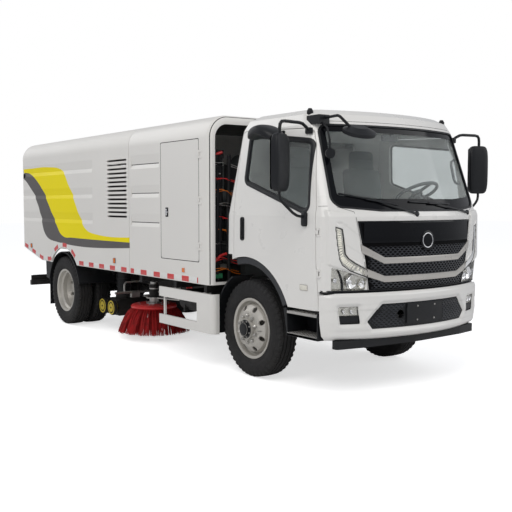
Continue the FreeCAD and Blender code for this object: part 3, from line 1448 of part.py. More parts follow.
def cab_lugs():
    """Four lugs that turn on the tilt pins."""
    x, z = size.cab_pivot_x, size.cab_pivot_z
    outline = [(x - 52, 1200), (x + 52, 1200), (x + 30, z - 28, 22), (x - 30, z - 28, 22)]
    web_low, web_high = size.rail_outer_y - 40, size.rail_outer_y
    lugs = []
    for side in (1, -1):
        for near, far in ((web_low - 35, web_low - 5), (web_high + 5, web_high + 35)):
            lug = side_prism(outline, side * near, side * far)
            bore = Part.makeCylinder(size.cab_pin + size.running_gap, 2 * reach_y,
                                     Vector(x, -reach_y, z), Vector(0, 1, 0))
            lugs.append(lug.cut(bore))
    return lugs


hinge_x = 3436
hinge_y = 1068
HINGE_LEVELS = (1130, 1500)


def hinge_rod(radius, low, high, x=hinge_x, y=hinge_y):
    return Part.makeCylinder(radius, high - low, Vector(x, y, low))


def cab_shell_shape():
    """The cab without its doors: floor, back, roof, front corners and cowl."""
    opening = cab_skin(6, -size.cab_wall - 6).common(side_prism(door_outline(door_gap), 820, reach_y))
    tools = cab_foot + [cabin, bay, opening, screen_cut, rear_cut, panel_inlay]
    tools += bar_shapes + headlamp_shapes
    left_half = without(cab_form().common(block((1900, 3900), (0, reach_y), (600, 2800))), tools)
    shell = left_half.fuse(in_mirror(left_half))
    extras = cab_lugs()
    for level in HINGE_LEVELS:
        pocket = block((3395, 3451), (hinge_y - 16, hinge_y + 20), (level - 36, level + 36))
        shell = without(shell, [pocket, in_mirror(pocket)])
        hinge = hinge_rod(5, level - 40, level + 40)
        for low_end in (level - 36, level + 20):
            hinge = hinge.fuse([hinge_rod(9, low_end, low_end + 16),
                                block((hinge_x, 3460), (hinge_y - 14, hinge_y), (low_end, low_end + 16))])
        extras += [hinge, in_mirror(hinge)]
    whole = shell.fuse(extras).removeSplitter()
    back = side_prism([(1900, 1225), (2054, 1225), (2054, 1640), (2206, 2482), (1900, 2482)],
                      -reach_y, reach_y)
    pillar = block((3215, 3900), (860, reach_y), (1660, 2482))
    return parted(whole, [
        block((1900, 3900), (-reach_y, reach_y), (2475, 2700)),
        back,
        block((1900, 2995), (-reach_y, reach_y), (1225, 1270)),
        pillar, in_mirror(pillar),
    ])


node("cab_shell", shaped(cab_shell_shape(), "cab"))
node("cab_glass", shaped(Part.makeCompound([
    cab_skin(-10, -17).common(screen_cut),
    cab_skin(-14, -20).common(rear_cut),
]), "cab_glass"))
node("grille_panel", shaped(panel_inlay.cut(bar_shapes), "panel"))
node("grille_bars", shaped(Part.makeCompound(bar_shapes), "bars"))
node("headlamps", shaped(Part.makeCompound(headlamp_shapes), "lamps"))


def door_shape():
    """The left door with its window cut and a grab recess."""
    door = cab_skin(0, -size.cab_wall).common(side_prism(door_outline(0), 820, reach_y))
    door = without(door, cab_foot + [window_cut])
    for level in HINGE_LEVELS:
        knuckle = block((3398, hinge_x), (hinge_y - 12, hinge_y - 1), (level - 18, level + 18))
        knuckle = knuckle.fuse(hinge_rod(9, level - 18, level + 18))
        door = door.fuse(knuckle.cut(hinge_rod(5 + size.running_gap, level - 30, level + 30)))
    return door.removeSplitter()


left_door = shaped(door_shape(), "door")
node("door_left", group(left_door))
node("door_right", mirrored(left_door))
left_pane = shaped(cab_skin(-16, -22).common(window_cut), "pane")
node("door_glass_left", group(left_pane))
node("door_glass_right", mirrored(left_pane))


def mirror_shape(side):
    """A tall mirror head on upper and lower arms from the door's frame."""
    out = 1370
    head = block((-48, 42), (-92, 92), (1862, 2374))
    tall = [edge for edge in head.Edges if edge.BoundBox.ZMax - edge.BoundBox.ZMin > 100]
    head = head.makeFillet(24, tall)
    head.rotate(Vector(0, 0, 0), Vector(0, 0, 1), -20)
    head.translate(Vector(3262, out, 0))
    upper = tube_along([(3215, 985, 2418), (3235, 1080, 2480),
                        (3262, out - 10, 2480), (3262, out, 2340)], 15, 60)
    lower = tube_along([(3262, out, 1900), (3262, out, 1800),
                        (3265, 1180, 1650), (3268, 1066, 1640)], 13, 50)
    feet = [block((3180, 3250), (972, 1002), (2392, 2440)), block((3236, 3300), (1060, 1090), (1600, 1676))]
    mirror = head.fuse([upper, lower] + feet)
    if side < 0:
        kerb = plan_prism([(-200, -100, 50), (200, -100, 50), (200, 100, 50), (-200, 100, 50)], -55, 55)
        kerb.translate(Vector(2830, 1240, 2388))
        stem = tube_along([(2830, 985, 2418), (2830, 1080, 2440), (2830, 1200, 2400)], 15, 40)
        foot = block((2790, 2870), (968, 1002), (2392, 2444))
        mirror = mirror.fuse([kerb, stem, foot])
    door = door_blank.common(block((2700, 3400), (900, 1200), (1500, 2500)))
    mirror = mirror.cut(door).removeSplitter()
    return mirror if side > 0 else mirror.mirror(Vector(0, 0, 0), Vector(0, 1, 0))


door_blank = cab_skin(0, -size.cab_wall)
node("mirror_left", shaped(mirror_shape(1), "mirror"))
node("mirror_right", shaped(mirror_shape(-1), "mirror"))


def seat(y):
    """One seat: plinth, cushion, backrest and headrest."""
    plinth = block((2450, 2850), (y - 170, y + 170), (1270, 1430))
    cushion = side_prism([(2400, 1430, 30), (2910, 1430, 30), (2910, 1560, 45), (2400, 1560, 30)],
                         y - 240, y + 240)
    back = side_prism([(2400, 1500, 40), (2530, 1500, 40), (2440, 2130, 50), (2330, 2130, 50)],
                      y - 225, y + 225)
    head_rest = side_prism([(2340, 2110, 20), (2440, 2110, 20), (2420, 2320, 40), (2335, 2320, 40)],
                           y - 140, y + 140)
    return plinth.fuse([cushion, back, head_rest]).removeSplitter()


def interior_shape():
    seats = [seat(460), seat(-460), block((2520, 2800), (-200, 200), (1270, 1420))]
    dash = cab_form(-size.cab_wall - 2).common(side_prism(
        [(3366, 1245), (3900, 1245), (3900, 1660), (3480, 1690), (3330, 1660, 40), (3270, 1540, 60),
         (3366, 1420)], -910, 910))
    column = Part.makeCylinder(34, 340, Vector(3420, 490, 1600), Vector(-0.62, 0, 0.62))
    ring = Part.makeTorus(215, 17, Vector(0, 0, 0), Vector(0, 0, 1))
    spokes = [block((-208, 208), (-16, 16), (-12, 6)), Part.makeCylinder(58, 34, Vector(0, 0, -20))]
    steering = ring.fuse(spokes)
    steering.rotate(Vector(0, 0, 0), Vector(0, 1, 0), -28)
    steering.translate(Vector(3178, 490, 1862))
    return seats, dash.fuse([column, steering]).removeSplitter()


seat_shapes, dash_shape = interior_shape()
node("cab_interior", shaped(Part.makeCompound(seat_shapes + [dash_shape]), "interior"))


def fittings_shape():
    """Roof marker lamps and the front-view mirror with its arm."""
    lamps = []
    roof = cab_form()
    for side in (1, -1):
        lamp = Part.makeCylinder(30, 90, Vector(3133, side * 905, 2520)).fuse(
            Part.makeCone(30, 16, 24, Vector(3133, side * 905, 2610)))
        lamps.append(lamp.cut(roof))
    base = block((3150, 3330), (-960, -840), (2478, 2560)).cut(roof)
    arm = tube_along([(3250, -890, 2530), (3500, -880, 2540),
                      (3560, -800, 2440), (3600, -730, 2400)], 13, 40)
    arm = arm.cut(roof)
    facing = Vector(0.35, -0.1, 0.93)
    bowl = Part.makeCylinder(150, 30, Vector(3600, -730, 2376), facing)
    cap = Part.makeCone(150, 70, 34, Vector(3600, -730, 2376) + facing * 30, facing)
    stem = tube_along([(3310, -925, 2500), (3400, -930, 2440),
                       (3436, -930, 2330), (3440, -930, 2240)], 9, 25)
    stem = stem.cut(roof)
    oval = Part.makeCylinder(45, 24, Vector(3438, -930, 2204), Vector(1, -0.35, 0))
    return lamps, base.fuse([arm, bowl, cap, stem, oval]).removeSplitter()


lamp_pair, front_mirror = fittings_shape()
node("cab_fittings", shaped(Part.makeCompound(lamp_pair + [front_mirror]), "fittings"))


def arch_liner():
    """The left wheel-arch flare and the brackets that hang it under the cab floor."""
    band = arc_band(front_axle_x, axle_z + 5, size.arch_radius - 71, 64, 26, 104, 930, 1058)
    top_bracket = block((2240, 2300), (940, 1010), (1175, 1225))
    front_bracket = block((2830, 2950), (940, 1010), (985, 1025))
    return band.fuse([top_bracket, front_bracket]).removeSplitter()


flare_left = shaped(arch_liner(), "flare")
node("arch_flares", pair(flare_left))

# ---------------------------------------------------------------- bumper and steps


def bumper_section(level, half_width, front, grow):
    """A bowed front with short side returns, as an open band closed along its inside."""
    bow_y = half_width - size.cab_corner
    lean = math.asin(bow_y / size.cab_bow)
    corner_radius = size.cab_corner / (1 - math.sin(lean))
    bow_x = front - size.cab_bow
    turn_x = bow_x + (size.cab_bow - corner_radius) * math.cos(lean)
    turn_y = (size.cab_bow - corner_radius) * math.sin(lean)
    bow = size.cab_bow + grow
    radius = corner_radius + grow
    edge = half_width + grow

    def on(x, y, reach, angle, side=1):
        return Vector(x + reach * math.cos(angle), side * (y + reach * math.sin(angle)), level)

    middle = (lean + math.pi / 2) / 2
    back = 3250 + grow
    edges = [
        Part.LineSegment(Vector(back, -edge, level), Vector(back, edge, level)),
        Part.LineSegment(Vector(back, edge, level), Vector(turn_x, edge, level)),
        Part.Arc(Vector(turn_x, edge, level), on(turn_x, turn_y, radius, middle),
                 on(turn_x, turn_y, radius, lean)),
        Part.Arc(on(bow_x, 0, bow, lean), on(bow_x, 0, bow, 0), on(bow_x, 0, bow, lean, -1)),
        Part.Arc(on(turn_x, turn_y, radius, lean, -1), on(turn_x, turn_y, radius, middle, -1),
                 Vector(turn_x, -edge, level)),
        Part.LineSegment(Vector(turn_x, -edge, level), Vector(back, -edge, level)),
    ]
    return Part.Wire([item.toShape() for item in edges])


BUMPER_ROWS = (
    (0, 1066, -46), (0.10, 1078, -14), (0.40, 1090, 4), (0.62, 1097, 0), (0.66, 1098, 6),
    (0.92, 1104, 6), (1, 1104, -2),
)
MESH = [(-660, 690, 12), (-600, 618, 12), (600, 618, 12), (660, 690, 12), (512, 846, 12), (-512, 846, 12)]
FOG = [(722, 672, 10), (905, 672, 14), (925, 832, 14), (745, 832, 10)]


def bumper_form(grow):
    """The bumper's envelope; a shrunk one runs on above and below so that it cuts right through."""
    rows = []
    for share, half_width, ahead in BUMPER_ROWS:
        level = size.bumper_bottom + share * (size.bumper_top - size.bumper_bottom)
        if share == 0:
            level += grow
        if share == 1:
            level -= grow
        rows.append(bumper_section(level, half_width, size.bumper_front + ahead, grow))
    return Part.makeLoft(rows, True, True)


bumper_skin = bumper_form(0).cut(bumper_form(-size.bumper_skin))
side_trim = block((3200, 3540), (-reach_y, reach_y), (500, 960))
mesh_cut = front_prism(MESH, 3300, 3900)
fog_cuts = [front_prism([(side * point[0],) + tuple(point[1:]) for point in FOG], 3300, 3900)
            for side in (1, -1)]


def bumper_shape():
    skin = without(bumper_skin, [side_trim, mesh_cut] + fog_cuts)
    form = bumper_form(-size.bumper_skin / 2)
    brackets = []
    for side in (1, -1):
        near, far = sorted((side * (size.rail_outer_y - 38), side * (size.rail_outer_y - 2)))
        arm = side_prism([(3580, 712), (3580, 788), (3640, 788), (3680, 600), (3900, 600), (3900, 552),
                          (3640, 552)], near, far)
        brackets.append(arm.common(form))
    return skin.fuse(brackets).removeSplitter()


node("front_bumper", shaped(bumper_shape(), "bumper"))
insert_skin = bumper_form(-size.bumper_skin).cut(bumper_form(-size.bumper_skin - 12))
mesh_panel = insert_skin.common(front_prism([(-690, 606), (690, 606), (690, 862), (-690, 862)], 3500, 3900))
plate_board = bumper_form(10).cut(bumper_form(-size.bumper_skin - 2)).common(
    front_prism([(-240, 646, 12), (240, 646, 12), (240, 836, 12), (-240, 836, 12)], 3500, 3900))
tow_hole = Part.makeCylinder(size.tow_bore + 23, 400, Vector(3500, size.tow_y, size.tow_z), Vector(1, 0, 0))
plate_holes = [Part.makeCylinder(3.5, 200, Vector(3650, y, z), Vector(1, 0, 0))
               for y in (-115, 115) for z in (676, 806)]
fog_pockets = []
for fog_cut in fog_cuts:
    fog_pockets.append(insert_skin.common(fog_cut))
skirt = plan_prism([(3560, -985, 30), (3614, -700, 200), (3660, 0, 1500), (3614, 700, 200), (3560, 985, 30),
                    (3500, 985), (3540, 700), (3590, 0, 1500), (3540, -700), (3500, -985)],
                   446, size.bumper_bottom)
ties = [block((3540, 3579), sorted((side * 362, side * 398)), (470, 710)) for side in (1, -1)]
node("bumper_inserts", shaped(Part.makeCompound([
    without(mesh_panel.fuse(plate_board), plate_holes + [tow_hole]).removeSplitter(),
    skirt.fuse(ties).removeSplitter(),
]), "inserts"))
lamp_blocks += [shaped(pocket, "fog_lamp") for pocket in fog_pockets]
node("chassis_lamps", group(*lamp_blocks))


def step_shape():
    """Left boarding steps: a dark housing with two treads."""
    back_plate = block((2990, 3440), (800, 812), (520, 774))
    rear_plate = side_prism([(2990, 520), (3004, 520), (2986, 774), (2938, 774)], 800, 1058)
    front_plate = block((3428, 3440), (800, 1062), (520, 774))
    lower = block((2992, 3430), (805, 1064), (520, 544))
    upper = block((2975, 3430), (805, 1060), (727, 751))
    arms = [block((x, x + 40), (400, 805), (650, 700)) for x in (3040, 3340)]
    return back_plate.fuse([rear_plate, front_plate, lower, upper] + arms).removeSplitter()


step_left = shaped(step_shape(), "step")
node("cab_steps", pair(step_left))

# ---------------------------------------------------------------- checks and files

doc.recompute()
for thing in doc.Objects:
    if "Invalid" in thing.State or "Error" in thing.State:
        raise RuntimeError(f"{thing.Name} does not compute: {thing.State}")
for name, thing in nodes.items():
    if thing.Shape.isNull() or not thing.Shape.isValid():
        raise RuntimeError(f"{name} has no sound shape")

os.makedirs("parts", exist_ok=True)
for name, thing in nodes.items():
    thing.Shape.exportStep(f"parts/{name}.step")
print(len(nodes), "sub-parts written")
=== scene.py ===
import bpy
import bmesh
import json
import math
import random
from mathutils import Matrix, Vector


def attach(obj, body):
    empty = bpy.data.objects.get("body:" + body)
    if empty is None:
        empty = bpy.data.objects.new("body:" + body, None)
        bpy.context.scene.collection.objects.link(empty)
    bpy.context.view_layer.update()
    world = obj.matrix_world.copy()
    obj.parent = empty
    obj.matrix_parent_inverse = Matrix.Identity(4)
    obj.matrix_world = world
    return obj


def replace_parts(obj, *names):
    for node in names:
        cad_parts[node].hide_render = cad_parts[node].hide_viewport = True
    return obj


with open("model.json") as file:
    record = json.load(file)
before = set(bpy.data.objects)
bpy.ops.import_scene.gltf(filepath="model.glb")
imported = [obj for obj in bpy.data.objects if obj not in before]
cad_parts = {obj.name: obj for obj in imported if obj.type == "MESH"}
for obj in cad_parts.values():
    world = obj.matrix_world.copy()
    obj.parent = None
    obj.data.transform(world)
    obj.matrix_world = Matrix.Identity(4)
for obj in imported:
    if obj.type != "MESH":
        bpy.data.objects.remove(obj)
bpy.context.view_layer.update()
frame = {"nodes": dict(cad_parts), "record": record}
print("frame loaded")

# camera, sky, lamps and floor

view = {"place": (8.841, -5.702, 1.759), "heading": 53.79, "down": 3.78, "lens": 56.13}
camData = bpy.data.cameras.new("camera")
camData.lens = view["lens"]
camData.sensor_width = 36
camData.clip_end = 200
cam = bpy.data.objects.new("camera", camData)
cam.location = view["place"]
cam.rotation_euler = (math.radians(90 - view["down"]), 0, math.radians(view["heading"]))
bpy.context.scene.collection.objects.link(cam)
bpy.context.scene.camera = cam
bpy.context.scene.view_settings.view_transform = "Standard"

light = {"sky": 0.47, "key": 540, "fill": 260, "rim": 260}
world = bpy.data.worlds.new("sky")
bpy.context.scene.world = world
world.use_nodes = True
skyNodes = world.node_tree.nodes
skyLinks = world.node_tree.links
skyNodes.clear()
rays = skyNodes.new("ShaderNodeLightPath")
seen = skyNodes.new("ShaderNodeMath")
seen.operation = "MAXIMUM"
pick = skyNodes.new("ShaderNodeMixShader")
worldOut = skyNodes.new("ShaderNodeOutputWorld")
skyLinks.new(rays.outputs["Is Camera Ray"], seen.inputs[0])
skyLinks.new(rays.outputs["Is Transmission Ray"], seen.inputs[1])
skyLinks.new(seen.outputs[0], pick.inputs["Fac"])
# the first sky lights the truck, the second is the white that is seen
for socket, colour, strength in ((1, (0.93, 0.95, 1, 1), light["sky"]), (2, (1, 1, 1, 1), 1)):
    sky = skyNodes.new("ShaderNodeBackground")
    sky.inputs["Color"].default_value = colour
    sky.inputs["Strength"].default_value = strength
    skyLinks.new(sky.outputs[0], pick.inputs[socket])
skyLinks.new(pick.outputs[0], worldOut.inputs[0])


def areaLamp(name, place, aim, width, watts, colour=(1, 1, 1)):
    data = bpy.data.lights.new(name, "AREA")
    data.shape = "SQUARE"
    data.size = width
    data.energy = watts
    data.color = colour
    lamp = bpy.data.objects.new(name, data)
    lamp.location = place
    lamp.rotation_euler = (Vector(aim) - Vector(place)).to_track_quat("-Z", "Y").to_euler()
    bpy.context.scene.collection.objects.link(lamp)


areaLamp("keyLamp", (7, -7, 9), (0, 0, 1), 7, light["key"], (1, 0.98, 0.95))
areaLamp("fillLamp", (9, 7, 6), (1, 0, 1), 8, light["fill"])
areaLamp("rimLamp", (-8, -4, 7), (-1, 0, 1), 7, light["rim"])


ground = {"reach": 60, "below": 0.001, "tone": (0.82, 0.82, 0.82, 1), "glow": 0.62}


def whiteFloor():
    mat = bpy.data.materials.new("paleFloor")
    mat.use_nodes = True
    nodes = mat.node_tree.nodes
    links = mat.node_tree.links
    nodes.clear()
    out = nodes.new("ShaderNodeOutputMaterial")
    dull = nodes.new("ShaderNodeBsdfDiffuse")
    dull.inputs["Color"].default_value = ground["tone"]
    glow = nodes.new("ShaderNodeEmission")
    glow.inputs["Color"].default_value = (1, 1, 1, 1)
    glow.inputs["Strength"].default_value = ground["glow"]
    both = nodes.new("ShaderNodeAddShader")
    rays = nodes.new("ShaderNodeLightPath")
    choose = nodes.new("ShaderNodeMixShader")
    links.new(dull.outputs[0], both.inputs[0])
    links.new(glow.outputs[0], both.inputs[1])
    links.new(rays.outputs["Is Camera Ray"], choose.inputs["Fac"])
    links.new(dull.outputs[0], choose.inputs[1])
    links.new(both.outputs[0], choose.inputs[2])
    links.new(choose.outputs[0], out.inputs["Surface"])
    mesh = bpy.data.meshes.new("floor")
    reach = ground["reach"]
    corners = [(-reach, -reach, 0), (reach, -reach, 0), (reach, reach, 0), (-reach, reach, 0)]
    mesh.from_pydata(corners, [], [(0, 1, 2, 3)])
    mesh.materials.append(mat)
    floor = bpy.data.objects.new("floor", mesh)
    floor.location.z = -ground["below"]
    bpy.context.scene.collection.objects.link(floor)


whiteFloor()
print("camera and lamps ready")

# small helpers for building meshes

bodies = frame["record"]["behaviour"]["bodies"]
homeOf = {node: body for body, members in bodies.items() for node in members}
slotOf = {part["node"]: part["material_slot"] for part in frame["record"]["subparts"]}
sides = (("left", 1), ("right", -1))


def settle(obj, body, slot):
    # links a finished piece and ties it to its body
    bpy.context.scene.collection.objects.link(obj)
    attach(obj, body)
    return obj


def creaseEdges(bm, crease):
    # edges flatter than the angle are shaded smooth
    for edge in bm.edges:
        if len(edge.link_faces) == 2:
            edge.smooth = edge.calc_face_angle(0) < math.radians(crease)


def soften(obj, width, angle):
    # a small bevel on the edges sharper than the angle
    bevel = obj.modifiers.new("soften", "BEVEL")
    bevel.width = width
    bevel.segments = 2
    bevel.limit_method = "ANGLE"
    bevel.angle_limit = math.radians(angle)
    bevel.harden_normals = True


class Maker:
    # collects faces for one piece; self.mat picks the material slot of what is added next

    def __init__(self):
        self.points = []
        self.faces = []
        self.mats = []
        self.mat = 0

    def add(self, points, faces):
        start = len(self.points)
        self.points += [Vector(p) for p in points]
        self.faces += [[start + i for i in face] for face in faces]
        self.mats += [self.mat] * len(faces)

    def box(self, low, high):
        spans = list(zip(low, high))
        corners = [(x, y, z) for z in spans[2] for y in spans[1] for x in spans[0]]
        faces = [(0, 2, 3, 1), (4, 5, 7, 6), (0, 1, 5, 4), (2, 6, 7, 3), (0, 4, 6, 2), (1, 3, 7, 5)]
        self.add(corners, faces)

    def sideBox(self, side, low, high):
        # a box measured on the left, set on the given side
        near, far = sorted((side * low[1], side * high[1]))
        self.box((low[0], near, low[2]), (high[0], far, high[2]))

    def rows(self, rows, around=False, along=False, caps=False):
        # skins equal rows of points; around closes each row, along closes the stack
        wide = len(rows[0])
        faces = []
        for r in range(len(rows) if along else len(rows) - 1):
            for c in range(wide if around else wide - 1):
                d = (c + 1) % wide
                s = (r + 1) % len(rows)
                faces.append((r * wide + c, r * wide + d, s * wide + d, s * wide + c))
        if caps:
            faces.append(tuple(reversed(range(wide))))
            faces.append(tuple((len(rows) - 1) * wide + c for c in range(wide)))
        self.add([p for row in rows for p in row], faces)

    def tube(self, path, radius, corners=8):
        path = [Vector(p) for p in path]
        last = len(path) - 1
        radii = radius if isinstance(radius, (list, tuple)) else [radius] * len(path)
        turns = [2 * math.pi * k / corners for k in range(corners)]
        rings = []
        side = None
        for i, p in enumerate(path):
            ahead = (path[min(i + 1, last)] - path[max(i - 1, 0)]).normalized()
            if side is None:
                side = ahead.orthogonal().normalized()
            side = (side - ahead * side.dot(ahead)).normalized()
            up = ahead.cross(side)
            rings.append([p + (side * math.cos(a) + up * math.sin(a)) * radii[i] for a in turns])
        self.rows(rings, around=True, caps=True)

    def turned(self, outline, centre, axis, steps=32):
        # revolves (radius, distance along the axis) pairs
        axis = Vector(axis).normalized()
        side = axis.orthogonal().normalized()
        up = axis.cross(side)
        rows = []
        for k in range(steps):
            a = 2 * math.pi * k / steps
            out = side * math.cos(a) + up * math.sin(a)
            rows.append([Vector(centre) + axis * along + out * radius for radius, along in outline])
        self.rows(rows, along=True)

    def shape(self, name, mats, crease=35, outward=False):
        mesh = bpy.data.meshes.new(name)
        mesh.from_pydata([tuple(p) for p in self.points], [], self.faces)
        for mat in mats:
            mesh.materials.append(mat)
        mesh.polygons.foreach_set("material_index", self.mats)
        mesh.polygons.foreach_set("use_smooth", [True] * len(self.faces))
        bm = bmesh.new()
        bm.from_mesh(mesh)
        bmesh.ops.remove_doubles(bm, verts=bm.verts, dist=0.00002)
        if outward:
            bmesh.ops.recalc_face_normals(bm, faces=bm.faces)
        creaseEdges(bm, crease)
        bm.to_mesh(mesh)
        bm.free()
        return mesh

    def piece(self, name, body, slot, mats, crease=35, bevel=0, outward=False):
        obj = bpy.data.objects.new(name, self.shape(name, mats, crease, outward))
        if bevel:
            soften(obj, bevel, 40)
        return settle(obj, body, slot)


def rounded(corners, steps=6):
    # closed outline from (u, v, radius) corners, each turned into an arc
    out = []
    count = len(corners)
    for i, (u, v, radius) in enumerate(corners):
        here = Vector((u, v))
        back = (Vector(corners[i - 1][:2]) - here).normalized()
        ahead = (Vector(corners[(i + 1) % count][:2]) - here).normalized()
        half = math.acos(max(-1, min(1, back.dot(ahead)))) / 2
        if radius <= 0 or half > 1.55:
            out.append(here)
            continue
        reach = radius / math.tan(half)
        middle = here + (back + ahead).normalized() * (radius / math.sin(half))
        first = here + back * reach - middle
        last = here + ahead * reach - middle
        sweep = first.angle_signed(last)
        for k in range(steps + 1):
            c = math.cos(-sweep * k / steps)
            s = math.sin(-sweep * k / steps)
            out.append(middle + Vector((first.x * c - first.y * s, first.x * s + first.y * c)))
    return out


def plate(low, high, radius, steps):
    # a rectangle with round corners
    (a, b), (c, d) = low, high
    return rounded([(a, b, radius), (c, b, radius), (c, d, radius), (a, d, radius)], steps)


def sided(points, side):
    # points measured on the left, set on the given side
    return [(x, side * y, z) for x, y, z in points]


def spread(half, steps):
    # even places from one side to the other
    return [half * (k / steps - 0.5) * 2 for k in range(steps + 1)]


def split(outline, longest):
    # adds points so that no edge is longer than the given length
    out = []
    for i, p in enumerate(outline):
        q = outline[(i + 1) % len(outline)]
        parts = max(1, math.ceil((q - p).length / longest))
        out += [p.lerp(q, k / parts) for k in range(parts)]
    return out


cabRows = (
    # height, rear, half width, front
    (0.780, 2.000, 1.060, 3.715),
    (1.000, 2.000, 1.068, 3.740),
    (1.250, 2.000, 1.075, 3.765),
    (1.640, 2.005, 1.072, 3.760),
    (2.480, 2.150, 0.985, 3.450),
    (2.580, 2.200, 0.945, 3.380),
    (2.630, 2.290, 0.860, 3.270),
    (2.648, 2.420, 0.740, 3.120),
)
bumperRows = (
    (0.524, 3.200, 1.066, 3.704),
    (0.5668, 3.200, 1.078, 3.736),
    (0.6952, 3.200, 1.090, 3.754),
    (0.7894, 3.200, 1.097, 3.750),
    (0.8065, 3.200, 1.098, 3.756),
    (0.9178, 3.200, 1.104, 3.756),
    (0.952, 3.200, 1.104, 3.748),
)
bow = {"radius": 2.25, "corner": 0.095, "shy": 0.0005}


def sectionAt(z, rows):
    z = max(rows[0][0], min(rows[-1][0], z))
    for low, high in zip(rows, rows[1:]):
        if z <= high[0]:
            t = (z - low[0]) / (high[0] - low[0])
            return [a + (b - a) * t for a, b in zip(low, high)]
    return list(rows[-1])


def cornerOf(half, front):
    # where the bow turns into the corner arc: its angle there, the arc's radius and the arc's middle
    lean = math.asin((half - bow["corner"]) / bow["radius"])
    radius = bow["corner"] / (1 - math.sin(lean))
    reach = bow["radius"] - radius
    return lean, radius, front - bow["radius"] + reach * math.cos(lean), reach * math.sin(lean)


def onFront(y, z, grow=0.0, rows=cabRows):
    # point on the bowed front at (y, z), grown outwards; past the corner it follows the corner arc
    half, front = sectionAt(z, rows)[2:]
    lean, cornerRadius, turnX, turnY = cornerOf(half, front)
    side = -1 if y < 0 else 1
    across = min(abs(y), half + grow - bow["shy"])
    if across <= (bow["radius"] + grow) * math.sin(lean):
        x = front - bow["radius"] + math.sqrt((bow["radius"] + grow) ** 2 - across ** 2)
    else:
        x = turnX + math.sqrt(max(0, (cornerRadius + grow) ** 2 - (across - turnY) ** 2))
    return Vector((x, side * across, z))


def bumperAt(y, z, lift):
    return onFront(y, z, lift, bumperRows)


def onFlank(side):
    # the placing of points on one side of the cab, round the front corner as well
    def place(x, z, lift):
        half, front = sectionAt(z, cabRows)[2:]
        lean, cornerRadius, turnX, turnY = cornerOf(half, front)
        if x <= turnX:
            return Vector((x, side * (half + lift), z))
        reach = cornerRadius + lift
        return Vector((x, side * (turnY + math.sqrt(max(0, reach ** 2 - (x - turnX) ** 2))), z))
    return place


def skinOf(node, name, mats, crease, shape, bevel=0.0):
    # a welded and reshaped copy of a CAD node, shown instead of it
    mesh = frame["nodes"][node].data.copy()
    mesh.name = name
    bm = bmesh.new()
    bm.from_mesh(mesh)
    bmesh.ops.remove_doubles(bm, verts=bm.verts, dist=0.00003)
    bmesh.ops.dissolve_limit(bm, angle_limit=math.radians(0.6), verts=bm.verts, edges=bm.edges)
    shape(bm)
    for face in bm.faces:
        face.smooth = True
    creaseEdges(bm, crease)
    bm.to_mesh(mesh)
    bm.free()
    for attribute in ("custom_normal", "sharp_face"):
        if attribute in mesh.attributes:
            mesh.attributes.remove(mesh.attributes[attribute])
    mesh.materials.clear()
    for mat in mats:
        mesh.materials.append(mat)
    obj = bpy.data.objects.new(name, mesh)
    if bevel:
        soften(obj, bevel, crease)
    settle(obj, homeOf[node], slotOf[node])
    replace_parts(obj, node)


# one pattern set on many spots by Geometry Nodes

def repeatTree():
    tree = bpy.data.node_groups.new("repeatOnSpots", "GeometryNodeTree")
    sockets = tree.interface
    sockets.new_socket("Spots", in_out="INPUT", socket_type="NodeSocketGeometry")
    for word, kind in (("Pattern", "Object"), ("Least", "Float"), ("Most", "Float"), ("Seed", "Int"),
                       ("Finish", "Material")):
        sockets.new_socket(word, in_out="INPUT", socket_type="NodeSocket" + kind)
    sockets.new_socket("Mesh", in_out="OUTPUT", socket_type="NodeSocketGeometry")
    nodes = tree.nodes
    links = tree.links
    start = nodes.new("NodeGroupInput")
    pattern = nodes.new("GeometryNodeObjectInfo")
    links.new(start.outputs["Pattern"], pattern.inputs["Object"])
    turn = None
    for word, axis, pivot in (("facing", "Z", "AUTO"), ("aside", "X", "Z")):
        read = nodes.new("GeometryNodeInputNamedAttribute")
        read.data_type = "FLOAT_VECTOR"
        read.inputs["Name"].default_value = word
        align = nodes.new("FunctionNodeAlignRotationToVector")
        align.axis = axis
        align.pivot_axis = pivot
        links.new(read.outputs["Attribute"], align.inputs["Vector"])
        if turn:
            links.new(turn, align.inputs["Rotation"])
        turn = align.outputs[0]
    size = nodes.new("FunctionNodeRandomValue")
    size.data_type = "FLOAT"
    floats = [socket for socket in size.inputs if socket.type == "VALUE"]
    links.new(start.outputs["Least"], floats[0])
    links.new(start.outputs["Most"], floats[1])
    links.new(start.outputs["Seed"], size.inputs["Seed"])
    put = nodes.new("GeometryNodeInstanceOnPoints")
    links.new(start.outputs["Spots"], put.inputs["Points"])
    links.new(pattern.outputs["Geometry"], put.inputs["Instance"])
    links.new(turn, put.inputs["Rotation"])
    drawn = [socket for socket in size.outputs if socket.type == "VALUE" and socket.enabled]
    links.new(drawn[0], put.inputs["Scale"])
    real = nodes.new("GeometryNodeRealizeInstances")
    give = nodes.new("GeometryNodeSetMaterial")
    end = nodes.new("NodeGroupOutput")
    links.new(put.outputs[0], real.inputs[0])
    links.new(real.outputs[0], give.inputs["Geometry"])
    links.new(start.outputs["Finish"], give.inputs["Material"])
    links.new(give.outputs[0], end.inputs[0])
    return tree


repeatNodes = repeatTree()


